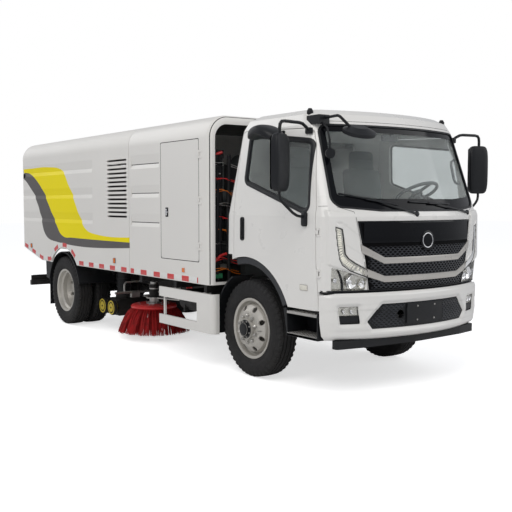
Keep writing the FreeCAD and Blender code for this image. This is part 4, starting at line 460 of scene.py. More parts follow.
def repeated(name, body, slotName, mat, spots, pattern, least=1.0, most=1.0, seed=3, crease=35):
    # spots are (place, facing, aside); the pattern's z axis turns to facing and its x axis to aside
    mesh = bpy.data.meshes.new(name + "Spots")
    mesh.from_pydata([tuple(spot[0]) for spot in spots], [], [])
    for word, column in (("facing", 1), ("aside", 2)):
        data = mesh.attributes.new(word, "FLOAT_VECTOR", "POINT").data
        data.foreach_set("vector", [c for spot in spots for c in spot[column]])
    host = bpy.data.objects.new(name + "Spots", mesh)
    model = bpy.data.objects.new(name + "Pattern", pattern.shape(name + "Pattern", [mat], crease))
    for obj in (host, model):
        bpy.context.scene.collection.objects.link(obj)
    repeat = host.modifiers.new("repeat", "NODES")
    repeat.node_group = repeatNodes
    values = {"Pattern": model, "Least": least, "Most": most, "Seed": seed, "Finish": mat}
    for item in repeatNodes.interface.items_tree:
        if item.in_out == "INPUT" and item.name in values:
            repeat[item.identifier] = values[item.name]
    host.update_tag()
    bpy.context.view_layer.update()
    made = bpy.data.meshes.new_from_object(host.evaluated_get(bpy.context.evaluated_depsgraph_get()))
    made.name = name
    host.modifiers.remove(repeat)
    for obj in (host, model):
        bpy.data.objects.remove(obj)
    if not made.materials:
        made.materials.append(mat)
    return settle(bpy.data.objects.new(name, made), body, slotName)


def turnedPattern(outline, steps):
    shape = Maker()
    shape.turned(outline, (0, 0, 0), (0, 0, 1), steps)
    return shape


nutShape = [(0.0, 0.003), (0.0205, 0.003), (0.0205, 0.0), (0.0205, 0.0048), (0.0165, 0.006), (0.0158, 0.006),
            (0.0158, 0.019), (0.0128, 0.022), (0.009, 0.031), (0.0055, 0.036), (0.0, 0.0368)]
boltShape = [(0.0095, 0.0), (0.0095, 0.002), (0.0072, 0.0022), (0.0072, 0.0078), (0.0055, 0.009),
             (0.0, 0.0092)]

# materials, all read from Object coordinates

dusty = {"tone": (0.26, 0.235, 0.20, 1), "top": 1.35, "foot": 0.15}


class Finish:
    # a material with the few node chains that every surface here is made from

    def __init__(self, name):
        self.mat = bpy.data.materials.new(name)
        self.mat.use_nodes = True
        self.nodes = self.mat.node_tree.nodes
        self.links = self.mat.node_tree.links
        self.shader = self.nodes["Principled BSDF"]
        self.place = self.nodes.new("ShaderNodeTexCoord").outputs["Object"]
        apart = self.nodes.new("ShaderNodeSeparateXYZ")
        self.links.new(self.place, apart.inputs[0])
        self.axis = {"x": apart.outputs[0], "y": apart.outputs[1], "z": apart.outputs[2]}

    def feed(self, socket, value):
        if isinstance(value, bpy.types.NodeSocket):
            self.links.new(value, socket)
        else:
            socket.default_value = value

    def noise(self, scale, detail=3, lumpy=0.5):
        cloud = self.nodes.new("ShaderNodeTexNoise")
        cloud.inputs["Scale"].default_value = scale
        cloud.inputs["Detail"].default_value = detail
        cloud.inputs["Roughness"].default_value = lumpy
        self.links.new(self.place, cloud.inputs["Vector"])
        return cloud.outputs["Fac"]

    def span(self, value, low, high, start=0.0, end=1.0):
        scale = self.nodes.new("ShaderNodeMapRange")
        self.feed(scale.inputs["Value"], value)
        for socket, number in (("From Min", low), ("From Max", high), ("To Min", start), ("To Max", end)):
            scale.inputs[socket].default_value = number
        return scale.outputs["Result"]

    def sum(self, kind, a, b=0.0):
        step = self.nodes.new("ShaderNodeMath")
        step.operation = kind
        self.feed(step.inputs[0], a)
        self.feed(step.inputs[1], b)
        return step.outputs[0]

    def mix(self, amount, a, b):
        blend = self.nodes.new("ShaderNodeMix")
        blend.data_type = "RGBA"
        self.feed(blend.inputs["Factor"], amount)
        self.feed(blend.inputs[6], a)
        self.feed(blend.inputs[7], b)
        return blend.outputs[2]

    def clouded(self, cloud, colour, vary):
        # between a deeper and a paler shade of one colour
        deep = tuple(c * (1 - vary) for c in colour) + (1,)
        pale = tuple(min(1, c * (1 + vary)) for c in colour) + (1,)
        return self.mix(cloud, deep, pale)

    def bump(self, height, distance):
        relief = self.nodes.new("ShaderNodeBump")
        relief.inputs["Distance"].default_value = distance
        self.feed(relief.inputs["Height"], height)
        self.links.new(relief.outputs[0], self.shader.inputs["Normal"])

    def shade(self, colour, rough, vary, scale, dust, mottle=0.05):
        # colour with cloudy change and dust that thickens downwards
        cloud = self.span(self.noise(scale, 4), 0.3, 0.7)
        if not isinstance(colour, bpy.types.NodeSocket):
            colour = self.clouded(cloud, colour, vary)
        if dust:
            low = self.span(self.axis["z"], dusty["top"], dusty["foot"], 0, 1)
            patch = self.span(self.noise(5, 5, 0.65), 0.3, 0.72, 0.25, 1)
            film = self.sum("MULTIPLY", self.sum("MULTIPLY", low, patch), dust)
            colour = self.mix(film, colour, dusty["tone"])
            rough = self.sum("ADD", self.span(film, 0, 1, 0, 0.35), rough)
        patches = self.span(self.noise(scale * 7, 3), 0.3, 0.7, -mottle, mottle)
        rough = self.sum("ADD", patches, rough)
        self.feed(self.shader.inputs["Base Color"], colour)
        self.feed(self.shader.inputs["Roughness"], rough)


def finish(name, colour, rough=0.5, metal=0.0, vary=0.06, scale=2.0, grain=0.0, size=300.0, dust=0.0,
           coat=0.0, shine=0.5, mottle=0.05):
    made = Finish(name)
    made.shade(colour, rough, vary, scale, dust, mottle)
    made.shader.inputs["Specular IOR Level"].default_value = shine
    made.shader.inputs["Metallic"].default_value = metal
    if coat:
        made.shader.inputs["Coat Weight"].default_value = coat
        made.shader.inputs["Coat Roughness"].default_value = 0.08
    if grain:
        made.bump(made.noise(size, 2), grain)
    return made.mat


white = (0.735, 0.72, 0.69)
paint = finish("whitePaint", white, 0.32, vary=0.01, scale=0.8, dust=0.10, coat=0.3, mottle=0.015)
cabPaint = finish("cabPaint", (0.74, 0.73, 0.705), 0.28, vary=0.008, scale=0.8, dust=0.05,
                  coat=0.4, mottle=0.01)


stripe = {"rear": -3.72, "start": -3.612, "low": 1.1, "tall": 1.3, "flank": 1.14, "ragged": 0.0008,
          "yellow": ((0.86, 0.72, 0.0, 1), (0.90, 0.76, 0.0, 1)),
          "grey": ((0.105, 0.10, 0.10, 1), (0.125, 0.118, 0.118, 1))}
stripeLines = {
    "top": ((-3.60, 2.295), (-3.30, 2.295), (-2.60, 2.293), (-2.107, 2.238), (-1.85, 2.03), (-1.608, 1.747),
            (-1.42, 1.52), (-1.242, 1.394), (-1.0, 1.352), (0.0, 1.338)),
    "middle": ((-3.636, 2.237), (-3.35, 2.215), (-3.0, 2.08), (-2.59, 1.746), (-2.30, 1.45),
               (-2.027, 1.279), (-1.75, 1.276), (0.0, 1.276)),
    "foot": ((-3.64, 2.16), (-3.45, 2.08), (-3.016, 1.746), (-2.88, 1.52), (-2.739, 1.304),
             (-2.6, 1.235), (-2.455, 1.21), (0.0, 1.207)),
}


def stripePaint():
    # the body paint with the yellow and grey sweep, as three height curves along the truck
    made = Finish("stripePaint")
    rear, low, tall = stripe["rear"], stripe["low"], stripe["tall"]
    along = made.span(made.axis["x"], rear, 0.0)
    line = {}
    for name, knots in stripeLines.items():
        bend = made.nodes.new("ShaderNodeFloatCurve")
        made.links.new(along, bend.inputs["Value"])
        curve = bend.mapping.curves[0]
        knots = [((x - rear) / -rear, (z - low) / tall) for x, z in knots]
        curve.points[0].location = knots[0]
        curve.points[1].location = knots[-1]
        for knot in knots[1:-1]:
            curve.points.new(*knot)
        bend.mapping.update()
        line[name] = made.span(bend.outputs[0], 0, 1, low, low + tall)
    ragged = made.span(made.noise(60, 2), 0, 1, -stripe["ragged"], stripe["ragged"])
    height = made.sum("ADD", made.axis["z"], ragged)
    over = {name: made.sum("GREATER_THAN", height, limit) for name, limit in line.items()}
    flank = made.sum("GREATER_THAN", made.sum("ABSOLUTE", made.axis["y"]), stripe["flank"])
    start = made.sum("GREATER_THAN", made.axis["x"], stripe["start"])
    begin = made.sum("MULTIPLY", flank, start)
    cloud = made.span(made.noise(0.8, 4), 0.3, 0.7)
    base = made.clouded(cloud, white, 0.018)
    for band, under, above in (("yellow", "middle", "top"), ("grey", "foot", "middle")):
        within = made.sum("MULTIPLY", made.sum("SUBTRACT", over[under], over[above]), begin)
        base = made.mix(within, base, made.mix(cloud, *stripe[band]))
    made.shade(base, 0.42, 0, 0.8, 0.06, 0.015)
    made.shader.inputs["Specular IOR Level"].default_value = 0.12
    return made.mat


portal = {"half": 0.922, "top": 2.446, "radius": 0.225, "front": 1.80, "floor": 0.90}


def portalPaintedShade():
    # white outside; near black inside the engine housing's front opening, a painted shade for the dark
    # opening
    made = Finish("portalPaintedShade")
    base = made.clouded(made.span(made.noise(0.8, 4), 0.3, 0.7), white, 0.01)
    across = made.sum("MAXIMUM", made.sum("SUBTRACT", made.sum("ABSOLUTE", made.axis["y"]), portal["half"]))
    above = made.sum("MAXIMUM", made.sum("SUBTRACT", made.axis["z"], portal["top"]))
    squares = made.sum("ADD", made.sum("POWER", across, 2.0), made.sum("POWER", above, 2.0))
    within = made.sum("LESS_THAN", made.sum("SQRT", squares), portal["radius"])
    for kind, axis, limit in (("LESS_THAN", "x", portal["front"]), ("GREATER_THAN", "z", portal["floor"])):
        within = made.sum("MULTIPLY", within, made.sum(kind, made.axis[axis], limit))
    # painted shade: the walls inside the opening are made near black
    base = made.mix(within, base, (0.010, 0.010, 0.011, 1))
    made.shade(base, 0.34, 0, 0.8, 0.08, 0.015)
    made.shader.inputs["Specular IOR Level"].default_value = 0.3
    return made.mat


hopperPaint = stripePaint()
chassisBlack = finish("chassisBlack", (0.013, 0.013, 0.014), 0.5, vary=0.25, dust=0.12,
                      grain=0.0002, size=220, shine=0.25)
engineGrey = finish("engineGrey", (0.11, 0.12, 0.12), 0.45, metal=0.3, vary=0.2, dust=0.25,
                    grain=0.0004, size=150)
gearRed = finish("gearRed", (0.50, 0.02, 0.02), 0.38, vary=0.14, scale=5, dust=0.1, grain=0.0001,
                 size=200, coat=0.3)
steel = finish("steel", (0.50, 0.49, 0.47), 0.38, metal=1.0, vary=0.1, scale=6, grain=0.0001,
               size=160, dust=0.12)
rodChrome = finish("rodChrome", (0.72, 0.72, 0.74), 0.12, metal=1.0, vary=0.03)
wheelSilver = finish("wheelSilver", (0.50, 0.48, 0.44), 0.4, metal=0.35, vary=0.06, scale=5, dust=0.16,
                     grain=0.00012, size=260)
blackPlastic = finish("blackPlastic", (0.008, 0.009, 0.011), 0.42, vary=0.18, grain=0.0002,
                      size=500, dust=0.03, shine=0.28)
greyPlastic = finish("greyPlastic", (0.028, 0.030, 0.034), 0.5, vary=0.1, grain=0.0002, size=450,
                     dust=0.06, shine=0.35)
glossBlack = finish("glossBlack", (0.003, 0.0035, 0.005), 0.12, vary=0.2, shine=0.2)
combMat = finish("combRib", (0.016, 0.018, 0.023), 0.3, vary=0.1, shine=0.5)
deepBlack = finish("deepBlack", (0.0025, 0.0025, 0.003), 0.7, vary=0.2, shine=0.06)
silverTrim = finish("silverTrim", (0.50, 0.48, 0.45), 0.32, metal=0.6, vary=0.04, scale=3)
chromeTrim = finish("chromeTrim", (0.78, 0.78, 0.79), 0.09, metal=1.0, vary=0.02)
interiorMat = finish("interior", (0.10, 0.11, 0.115), 0.62, vary=0.12, scale=6, grain=0.0003, size=350)
seatCloth = finish("seatCloth", (0.13, 0.15, 0.15), 0.85, vary=0.16, scale=40, grain=0.0006, size=500)
rubber = finish("rubber", (0.010, 0.010, 0.011), 0.65, vary=0.2, dust=0.06, grain=0.0002, size=260,
                shine=0.25)
tyreMat = finish("tyre", (0.011, 0.011, 0.012), 0.7, vary=0.22, scale=6, dust=0.06, grain=0.0003,
                 size=240, shine=0.28)
bristleMat = finish("bristle", (0.34, 0.008, 0.010), 0.65, vary=0.35, scale=16, dust=0.06,
                    shine=0.15, grain=0.0003, size=300)
brushRed = finish("brushRed", (0.62, 0.015, 0.018), 0.36, vary=0.08, scale=6, dust=0.08,
                  grain=0.0001, coat=0.3)
yellowMat = finish("yellowPart", (0.62, 0.47, 0.02), 0.45, vary=0.1, dust=0.15, grain=0.0001)
tapeRed = finish("tapeRed", (0.60, 0.02, 0.02), 0.3, vary=0.1, scale=30, grain=0.0002, size=900, coat=0.5)
tapeWhite = finish("tapeWhite", (0.74, 0.74, 0.72), 0.3, vary=0.05, scale=30, grain=0.0002,
                   size=900, coat=0.5)
amberLens = finish("amberLens", (0.72, 0.16, 0.01), 0.18, vary=0.1, scale=20, grain=0.0004,
                   size=400, coat=0.8)
redLens = finish("redLens", (0.5, 0.008, 0.008), 0.16, vary=0.1, scale=20, grain=0.0004, size=400,
                 coat=0.8)
creamLens = finish("creamLens", (0.70, 0.68, 0.60), 0.2, vary=0.05, scale=20, grain=0.0004,
                   size=500, coat=0.7)
sealMat = finish("seal", (0.012, 0.013, 0.015), 0.45, vary=0.2, grain=0.0001, size=300, shine=0.3)
gapMat = finish("gapShade", (0.010, 0.010, 0.010), 0.8, vary=0.2, shine=0.1)
mirrorMat = finish("mirrorGlass", (0.80, 0.82, 0.83), 0.03, metal=1.0, vary=0.01)
wireOrange = finish("wireOrange", (0.65, 0.16, 0.01), 0.45, vary=0.1)
greenPart = finish("greenPart", (0.02, 0.16, 0.07), 0.4, vary=0.15, dust=0.1)


def glassPane(name, tint, rough, clear, paintedSheen=0.0):
    # glass that lets the lamps through, by the Light Path
    made = Finish(name)
    made.shade(tint, rough, 0.03, 3, 0)
    # the share taken from transmission shows as a pale grey diffuse layer, a painted reflection of the sky
    made.shader.inputs["Transmission Weight"].default_value = 1 - paintedSheen
    made.shader.inputs["IOR"].default_value = 1.15
    through = made.nodes.new("ShaderNodeBsdfTransparent")
    through.inputs["Color"].default_value = clear
    rays = made.nodes.new("ShaderNodeLightPath")
    choose = made.nodes.new("ShaderNodeMixShader")
    made.links.new(rays.outputs["Is Shadow Ray"], choose.inputs["Fac"])
    made.links.new(made.shader.outputs[0], choose.inputs[1])
    made.links.new(through.outputs[0], choose.inputs[2])
    made.links.new(choose.outputs[0], made.nodes["Material Output"].inputs["Surface"])
    return made.mat


# the last number is the painted sky reflection on the cab glass
cabGlass = glassPane("cabGlass", (0.67, 0.70, 0.70), 0.0, (0.80, 0.84, 0.83, 1), 0.07)
lensGlass = glassPane("lensGlass", (0.95, 0.96, 0.97), 0.0, (0.93, 0.94, 0.95, 1))

bySlot = {
    "white_paint": paint, "chassis_black": chassisBlack, "engine_grey": engineGrey, "gear_red": gearRed,
    "steel": steel, "rod_chrome": rodChrome, "wheel_silver": wheelSilver, "tyre": tyreMat,
    "black_plastic": blackPlastic, "gloss_black": glossBlack, "silver_trim": silverTrim, "lamp": chromeTrim,
    "glass": cabGlass, "interior": interiorMat, "bristle": bristleMat, "rubber": rubber,
}
ownFinish = {
    "hopper_shell": hopperPaint, "cab_shell": cabPaint, "door_left": cabPaint, "door_right": cabPaint,
    "front_bumper": cabPaint, "arch_flares": greyPlastic, "front_housing": portalPaintedShade(),
    "grille_panel": deepBlack, "brush_arm_left": steel,
}
for nodeName, cadObj in frame["nodes"].items():
    for spot in range(len(cadObj.material_slots)):
        slotName = cadObj.material_slots[spot].material.name
        cadObj.material_slots[spot].material = ownFinish.get(nodeName, bySlot.get(slotName))
print("materials ready")

# tyres and wheel details

tyre = {"steps": 240, "every": 5, "groove": 0.0115, "notch": 0.009, "sway": 0.0016}


def tyreHalf():
    # (radius, distance from the centre plane, how far a shoulder notch cuts in, wander with the ribs)
    deep = tyre["groove"]
    cut = tyre["notch"]
    return [
        (0.2906, 0.0880, 0, 0), (0.2906, 0.0905, 0, 0), (0.3083, 0.0957, 0, 0), (0.3110, 0.1003, 0, 0),
        (0.3165, 0.1035, 0, 0), (0.3223, 0.1058, 0, 0), (0.3320, 0.1098, 0, 0), (0.3335, 0.1116, 0, 0),
        (0.3365, 0.1120, 0, 0), (0.3385, 0.1118, 0, 0), (0.3603, 0.1192, 0, 0), (0.3770, 0.1222, 0, 0),
        (0.3925, 0.1228, 0, 0), (0.4120, 0.1210, 0, 0), (0.4270, 0.1186, 0, 0), (0.4290, 0.1196, 0, 0),
        (0.4325, 0.1190, 0, 0), (0.4345, 0.1168, 0, 0), (0.4520, 0.1140, cut * 0.4, 0),
        (0.4700, 0.1108, cut, 0), (0.4815, 0.1074, cut, 0), (0.4872, 0.1008, cut, 0),
        (0.4905, 0.0945, cut, 0), (0.4918, 0.0800, 0, 0.2), (0.4922, 0.0712, 0, 1),
        (0.4922 - deep, 0.0690, 0, 1), (0.4922 - deep, 0.0618, 0, 1), (0.4928, 0.0594, 0, 1),
        (0.4940, 0.0310, 0, 1), (0.4940 - deep, 0.0290, 0, 1), (0.4940 - deep, 0.0212, 0, 1),
        (0.4943, 0.0190, 0, 1), (0.4947, 0.0, 0, 0),
    ]


def tyreInto(shape, centre, side):
    half = tyreHalf()
    outline = half + [(r, -w, cut, sway) for r, w, cut, sway in reversed(half[:-1])]
    outline += [(0.3000, -0.0860, 0, 0), (0.3000, 0.0860, 0, 0)]
    rows = []
    steps = tyre["steps"]
    for k in range(steps):
        a = 2 * math.pi * k / steps
        sway = tyre["sway"] * math.sin(a * steps / 10)
        row = []
        for radius, wide, cut, wander in outline:
            if cut and (k % tyre["every"] in (0, 1)) == (wide > 0):
                radius -= cut
                wide -= math.copysign(cut * 0.5, wide)
            wide += sway * wander
            row.append(Vector(centre) + Vector((radius * math.cos(a), wide * side, radius * math.sin(a))))
        rows.append(row)
    shape.rows(rows, around=True, along=True)


def wheelRing(centre, side, face, ring, count):
    # evenly spaced spots on a disc face, looking outwards
    spots = []
    for k in range(count):
        a = 2 * math.pi * (k + 0.5) / count
        out = Vector((math.cos(a), 0, math.sin(a)))
        spots.append((Vector((centre[0], side * face, centre[2])) + out * ring, Vector((0, side, 0)), out))
    return spots


axleHeight = 0.495
# the nuts and bolts of each axle are given as (face, ring radius, count), its tyres by their middle planes
axles = {
    "front": {
        "x": 2.340, "body": "front_wheel", "node": "tyre_front", "tyres": (0.900,),
        "trim": blackPlastic, "nuts": (1.040, 0.1375, 10), "bolts": (1.080, 0.082, 8), "outlines": (
            [(0.0, 1.109), (0.040, 1.109), (0.060, 1.1065), (0.0690, 1.100), (0.0715, 1.086),
             (0.0715, 1.0755)],
            [(0.0735, 1.0745), (0.0905, 1.0745), (0.0945, 1.0790), (0.0745, 1.0815)])},
    "rear": {
        "x": -2.160, "body": "rear_wheels", "node": "tyres_rear", "tyres": (0.990, 0.710),
        "trim": wheelSilver, "nuts": (0.862, 0.1375, 10), "bolts": (0.9215, 0.090, 10), "outlines": (
            [(0.0, 0.954), (0.050, 0.954), (0.068, 0.950), (0.078, 0.942), (0.080, 0.926), (0.096, 0.9215),
             (0.1030, 0.9215)],)},
}
valve = [(2.545, 1.022, 0.495), (2.541, 1.040, 0.495), (2.533, 1.064, 0.495)]
for word, side in sides:
    for axle, wheel in axles.items():
        treads = Maker()
        node = f"{wheel['node']}_{word}"
        for y in wheel["tyres"]:
            tyreInto(treads, (wheel["x"], y * side, axleHeight), side)
        obj = treads.piece(f"{axle}Tread_{word}", homeOf[node], "tyre", [tyreMat], crease=28, outward=True)
        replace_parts(obj, node)

    for axle, wheel in axles.items():
        body = f"{word}_{wheel['body']}"
        centre = (wheel["x"], 0, axleHeight)
        repeated(f"{axle}Nuts_{word}", body, "steel", steel, wheelRing(centre, side, *wheel["nuts"]),
                 turnedPattern(nutShape, 6))
        repeated(f"{axle}HubBolts_{word}", body, "steel", steel, wheelRing(centre, side, *wheel["bolts"]),
                 turnedPattern(boltShape, 6))
        trim = Maker()
        if axle == "front":
            trim.tube(sided(valve, side), 0.0042, 8)
        trim.mat = 1
        for outline in wheel["outlines"]:
            trim.turned(outline, centre, (0, side, 0), 40)
        trim.piece(f"{axle}HubTrim_{word}", body, "steel", [steel, wheel["trim"]], crease=32)
print("wheels ready")

# cab outlines and the pieces laid on them

opening = {
    "window": [(2.300, 1.975, 0.06), (3.300, 1.672, 0.06), (3.262, 2.320, 0.06), (2.335, 2.430, 0.06)],
    "screen": [(-0.955, 1.738, 0.09), (-0.520, 1.700, 0.3), (0.520, 1.700, 0.3), (0.955, 1.738, 0.09),
               (0.912, 2.470, 0.08), (-0.912, 2.470, 0.08)],
    "lamp": [(0.672, 0.972, 0.02), (0.975, 0.972, 0.02), (0.985, 1.195, 0), (0.900, 1.165, 0),
             (0.660, 1.080, 0)],
    "mesh": [(-0.660, 0.690, 0), (-0.600, 0.618, 0), (0.600, 0.618, 0), (0.660, 0.690, 0), (0.512, 0.846, 0),
             (-0.512, 0.846, 0)],
    "fog": [(0.722, 0.672, 0), (0.905, 0.672, 0), (0.925, 0.832, 0), (0.745, 0.832, 0)],
}


def grown(outline, by):
    # offsets a closed outline; positive is outwards for an anticlockwise one
    count = len(outline)
    area = sum(p.x * q.y - q.x * p.y for p, q in zip(outline, outline[1:] + outline[:1]))
    way = 1 if area > 0 else -1
    out = []
    for i, p in enumerate(outline):
        a = (p - outline[i - 1]).normalized()
        b = (outline[(i + 1) % count] - p).normalized()
        na = Vector((a.y, -a.x)) * way
        nb = Vector((b.y, -b.x)) * way
        n = (na + nb).normalized()
        out.append(p + n * by / max(0.35, n.dot(na)))
    return out


def clean(outline):
    # drops points that lie all but on their neighbour
    least = 0.0006
    out = []
    for p in outline:
        if not out or (p - out[-1]).length > least:
            out.append(p)
    if (out[0] - out[-1]).length < least:
        out.pop()
    return out


def frameStrip(shape, outline, place, layers):
    # a closed strip round an outline; layers are (offset in the surface, lift off the surface)
    rows = [[place(p.x, p.y, lift) for p in (grown(outline, by) if by else outline)] for by, lift in layers]
    shape.rows(rows, around=True)


def capped(shape, outline, place, lift):
    # a flat fill of an outline, as a fan round its middle
    ring = [place(p.x, p.y, lift) for p in outline]
    middle = sum(outline, Vector((0, 0))) / len(outline)
    centre = place(middle.x, middle.y, lift)
    shape.add(ring + [centre], [(i, (i + 1) % len(ring), len(ring)) for i in range(len(ring))])


for word, side in sides:
    seal = Maker()
    window = split(clean(rounded(opening["window"], 8)), 0.05)
    layers = [(0.030, 0.0002), (0.029, 0.0035), (0.016, 0.0045), (0.003, 0.0040), (-0.006, 0.001),
              (-0.008, -0.012), (-0.020, -0.014), (-0.021, -0.0155)]
    frameStrip(seal, window, onFlank(side), layers)
    seal.piece(f"windowRubber_{word}", f"{word}_door", "rubber", [sealMat], crease=40)

# windscreen seal, and the black band printed on the glass inside it, wider at its foot
band = {"wide": 0.055, "foot": 0.045, "narrow": 0.012, "under": -0.0094}
screen = split(clean(rounded(opening["screen"], 8)), 0.06)
seal = Maker()
frameStrip(seal, screen, onFront, [(0.016, 0.0003), (0.015, 0.003), (0.004, 0.004), (-0.002, 0.001),
                                   (-0.003, -0.0096)])
seal.mat = 1
inner = []
for p, q in zip(grown(screen, -band["wide"]), screen):
    low = max(0, min(1, (1.95 - q.y) / 0.25))
    inner.append(Vector((p.x * (1 - band["narrow"] * low), p.y + band["foot"] * low)))
edges = (grown(screen, -0.001), inner)
seal.rows([[onFront(p.x, p.y, band["under"]) for p in edge] for edge in edges], around=True)
seal.piece("screenSeal", "cab", "rubber", [sealMat, glossBlack], crease=40)


def seamInto(shape, points, place):
    # a thin dark line along a surface, standing for the shadow of a panel gap
    wide, lift = 0.0035, 0.0006
    rows = [[], []]
    for i, p in enumerate(points):
        before = points[max(0, i - 1)]
        after = points[min(len(points) - 1, i + 1)]
        along = (Vector(after) - Vector(before)).normalized()
        aside = Vector((along.y, -along.x)) * wide / 2
        rows[0].append(place(p[0] + aside.x, p[1] + aside.y, lift))
        rows[1].append(place(p[0] - aside.x, p[1] - aside.y, lift))
    shape.rows(rows)


def run(a, b, steps):
    return [tuple(Vector(a).lerp(Vector(b), k / steps)) for k in range(steps + 1)]


seams = Maker()
for word, side in sides:
    seamInto(seams, run((side * 0.925, 1.727), (side * 0.785, 1.684), 6), onFront)
    seamInto(seams, run((side * 0.785, 1.684), (side * 0.642, 0.962), 14), onFront)
    seamInto(seams, run((3.425, 1.732), (3.49, 1.734), 4), onFlank(side))
seamInto(seams, run((-0.90, 2.512), (0.90, 2.512), 24), onFront)
seams.piece("cabSeams", "cab", "rubber", [gapMat])
print("cab seals ready")

# front panel, lamps and bumper

def inside(point, outline):
    # even-odd test of a point against a closed outline
    hit = False
    for i, p in enumerate(outline):
        q = outline[i - 1]
        if (p.y > point.y) != (q.y > point.y):
            if point.x < (q.x - p.x) * (point.y - p.y) / (q.y - p.y) + p.x:
                hit = not hit
    return hit


def combInto(shape, outline, place, cells, skip):
    # flattened hexagon cells with raised ribs, over a dark ground
    wide, tall = cells["size"]
    lift = cells["lift"]
    xs = [p.x for p in outline]
    ys = [p.y for p in outline]
    border = grown(outline, -0.004)
    row = 0
    v = min(ys)
    while v < max(ys) + tall:
        u = min(xs) + (wide / 2 if row % 2 else 0)
        while u < max(xs) + wide:
            centre = Vector((u, v))
            corners = [Vector((u + wide * du, v + tall * dv)) for du, dv in
                       ((0.5, -0.17), (0.5, 0.17), (0, 0.5), (-0.5, 0.17), (-0.5, -0.17), (0, -0.5))]
            if all(inside(c, border) for c in corners) and not skip(u, v):
                rings = [[place(c.x, c.y, lift) for c in corners]]
                for scale, level in ((0.72, lift), (0.64, lift - cells["deep"])):
                    rings.append([place(*(centre + (c - centre) * scale), level) for c in corners])
                shape.rows(rings, around=True)
            u += wide
        v += tall * 0.67
        row += 1


badge = {"z": 1.415, "clear": 0.105, "lift": 0.006, "facing": (1, 0, 0.02)}


def underBadge(y, z):
    return math.hypot(y, z - badge["z"]) < badge["clear"]


def underPlate(y, z):
    # the plate board and the round socket beside it
    return (abs(y) < 0.262 and 0.628 < z < 0.852) or math.hypot(y + 0.300, z - 0.740) < 0.052


grilleCells = {"size": (0.050, 0.030), "lift": 0.0075, "deep": 0.0040}
comb = Maker()
low = [Vector(p) for p in ((-0.634, 0.975), (0.634, 0.975), (0.716, 1.385), (-0.716, 1.385))]
combInto(comb, low, onFront, grilleCells, underBadge)
comb.piece("grilleComb", "cab", "gloss_black", [combMat], crease=30)

bumperCells = {"size": (0.050, 0.028), "lift": -0.0008, "deep": 0.0045}
comb = Maker()
combInto(comb, clean(rounded(opening["mesh"], 2)), bumperAt, bumperCells, underPlate)
comb.piece("bumperComb", "chassis", "black_plastic", [combMat], crease=30)

# smooth upper panel with a chamfered rim
rim = Maker()
upper = [Vector(p) for p in ((-0.718, 1.402), (0.718, 1.402), (0.757, 1.594), (-0.757, 1.594))]
upper = split(clean(upper), 0.08)
frameStrip(rim, upper, onFront, [(0.002, 0.0032), (-0.001, 0.0068), (-0.012, 0.0078)])
inner = grown(upper, -0.012)
bottom = sorted((p for p in inner if p.y < 1.43), key=lambda p: p.x)
top = sorted((p for p in inner if p.y > 1.56), key=lambda p: p.x)
rim.rows([[onFront(p.x, p.y + (q.y - p.y) * t, 0.0078) for p, q in zip(bottom, top)]
          for t in (0, 0.25, 0.5, 0.75, 1)])
rim.piece("upperPanel", "cab", "gloss_black", [glossBlack], crease=30)

# blank round badge
disc = Maker()
badgeAt = onFront(0, badge["z"], badge["lift"])
disc.turned([(0.0905, 0.0), (0.0905, 0.0032), (0.086, 0.0058), (0.071, 0.0062)],
            badgeAt, badge["facing"], 64)
disc.turned([(0.062, 0.0052), (0.0, 0.0062)], badgeAt, badge["facing"], 64)
disc.mat = 1
disc.turned([(0.071, 0.0060), (0.0705, 0.0074), (0.0665, 0.0082), (0.0625, 0.0074), (0.062, 0.0051)],
            badgeAt, badge["facing"], 64)
disc.piece("blankBadge", "cab", "gloss_black", [glossBlack, chromeTrim], crease=30)

# silver bars with a folded face, in place of the plain ones; the fold is (share of the height, lift)
barFold = ((-0.04, 0.0020), (-0.02, 0.0092), (0.10, 0.0102), (0.62, 0.0136), (0.97, 0.0095), (1.03, 0.0020))
bars = Maker()
for endTop, endFoot, midTop, midFoot, wide, bend in ((1.392, 1.322, 1.268, 1.212, 0.742, 0.505),
                                                     (1.180, 1.110, 1.098, 1.042, 0.702, 0.490)):
    stations = [(-wide, endTop, endFoot), (-bend, midTop, midFoot), (bend, midTop, midFoot),
                (wide, endTop, endFoot)]
    rows = [[] for fold in barFold]
    for (y0, a0, b0), (y1, a1, b1) in zip(stations, stations[1:]):
        for k in range(13):
            t = k / 12
            y, high, foot = y0 + (y1 - y0) * t, a0 + (a1 - a0) * t, b0 + (b1 - b0) * t
            inset = 0.014 if abs(y) / wide > 0.999 else 0
            for row, (share, lift) in zip(rows, barFold):
                row.append(onFront(y * (1 - inset * share), high + (foot - high) * share, lift))
    bars.rows(rows)
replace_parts(bars.piece("grilleBarFaces", "cab", "silver_trim", [silverTrim], crease=24), "grille_bars")


def bowl(shape, centre, facing, radius, deep):
    # a reflector bowl with a bulb shield in its middle
    dish = ((1, 0), (0.96, 0.35), (0.75, 0.75), (0.4, 0.97), (0.25, 1))
    shield = ((0.25, 1), (0.22, 0.3), (0.12, 0.05), (0, 0))
    for outline, steps in ((dish, 32), (shield, 20)):
        shape.turned([(radius * r, -deep * d) for r, d in outline], centre, facing, steps)


def lampFill(shape, outline, place, lift):
    # a surface patch under a lens, filled as a fan that follows the bowed front
    ring = split(outline, 0.03)
    middle = sum(ring, Vector((0, 0))) / len(ring)
    rows = [[place(p.x, p.y, lift) for p in ring]]
    for t in (0.5, 0.98):
        rows.append([place(*(p.lerp(middle, t)), lift) for p in ring])
    shape.rows(rows, around=True)


def towards(place, y, z):
    # the way the surface faces
    here = place(y, z, 0)
    return (place(y, z, 0.05) - here).normalized()


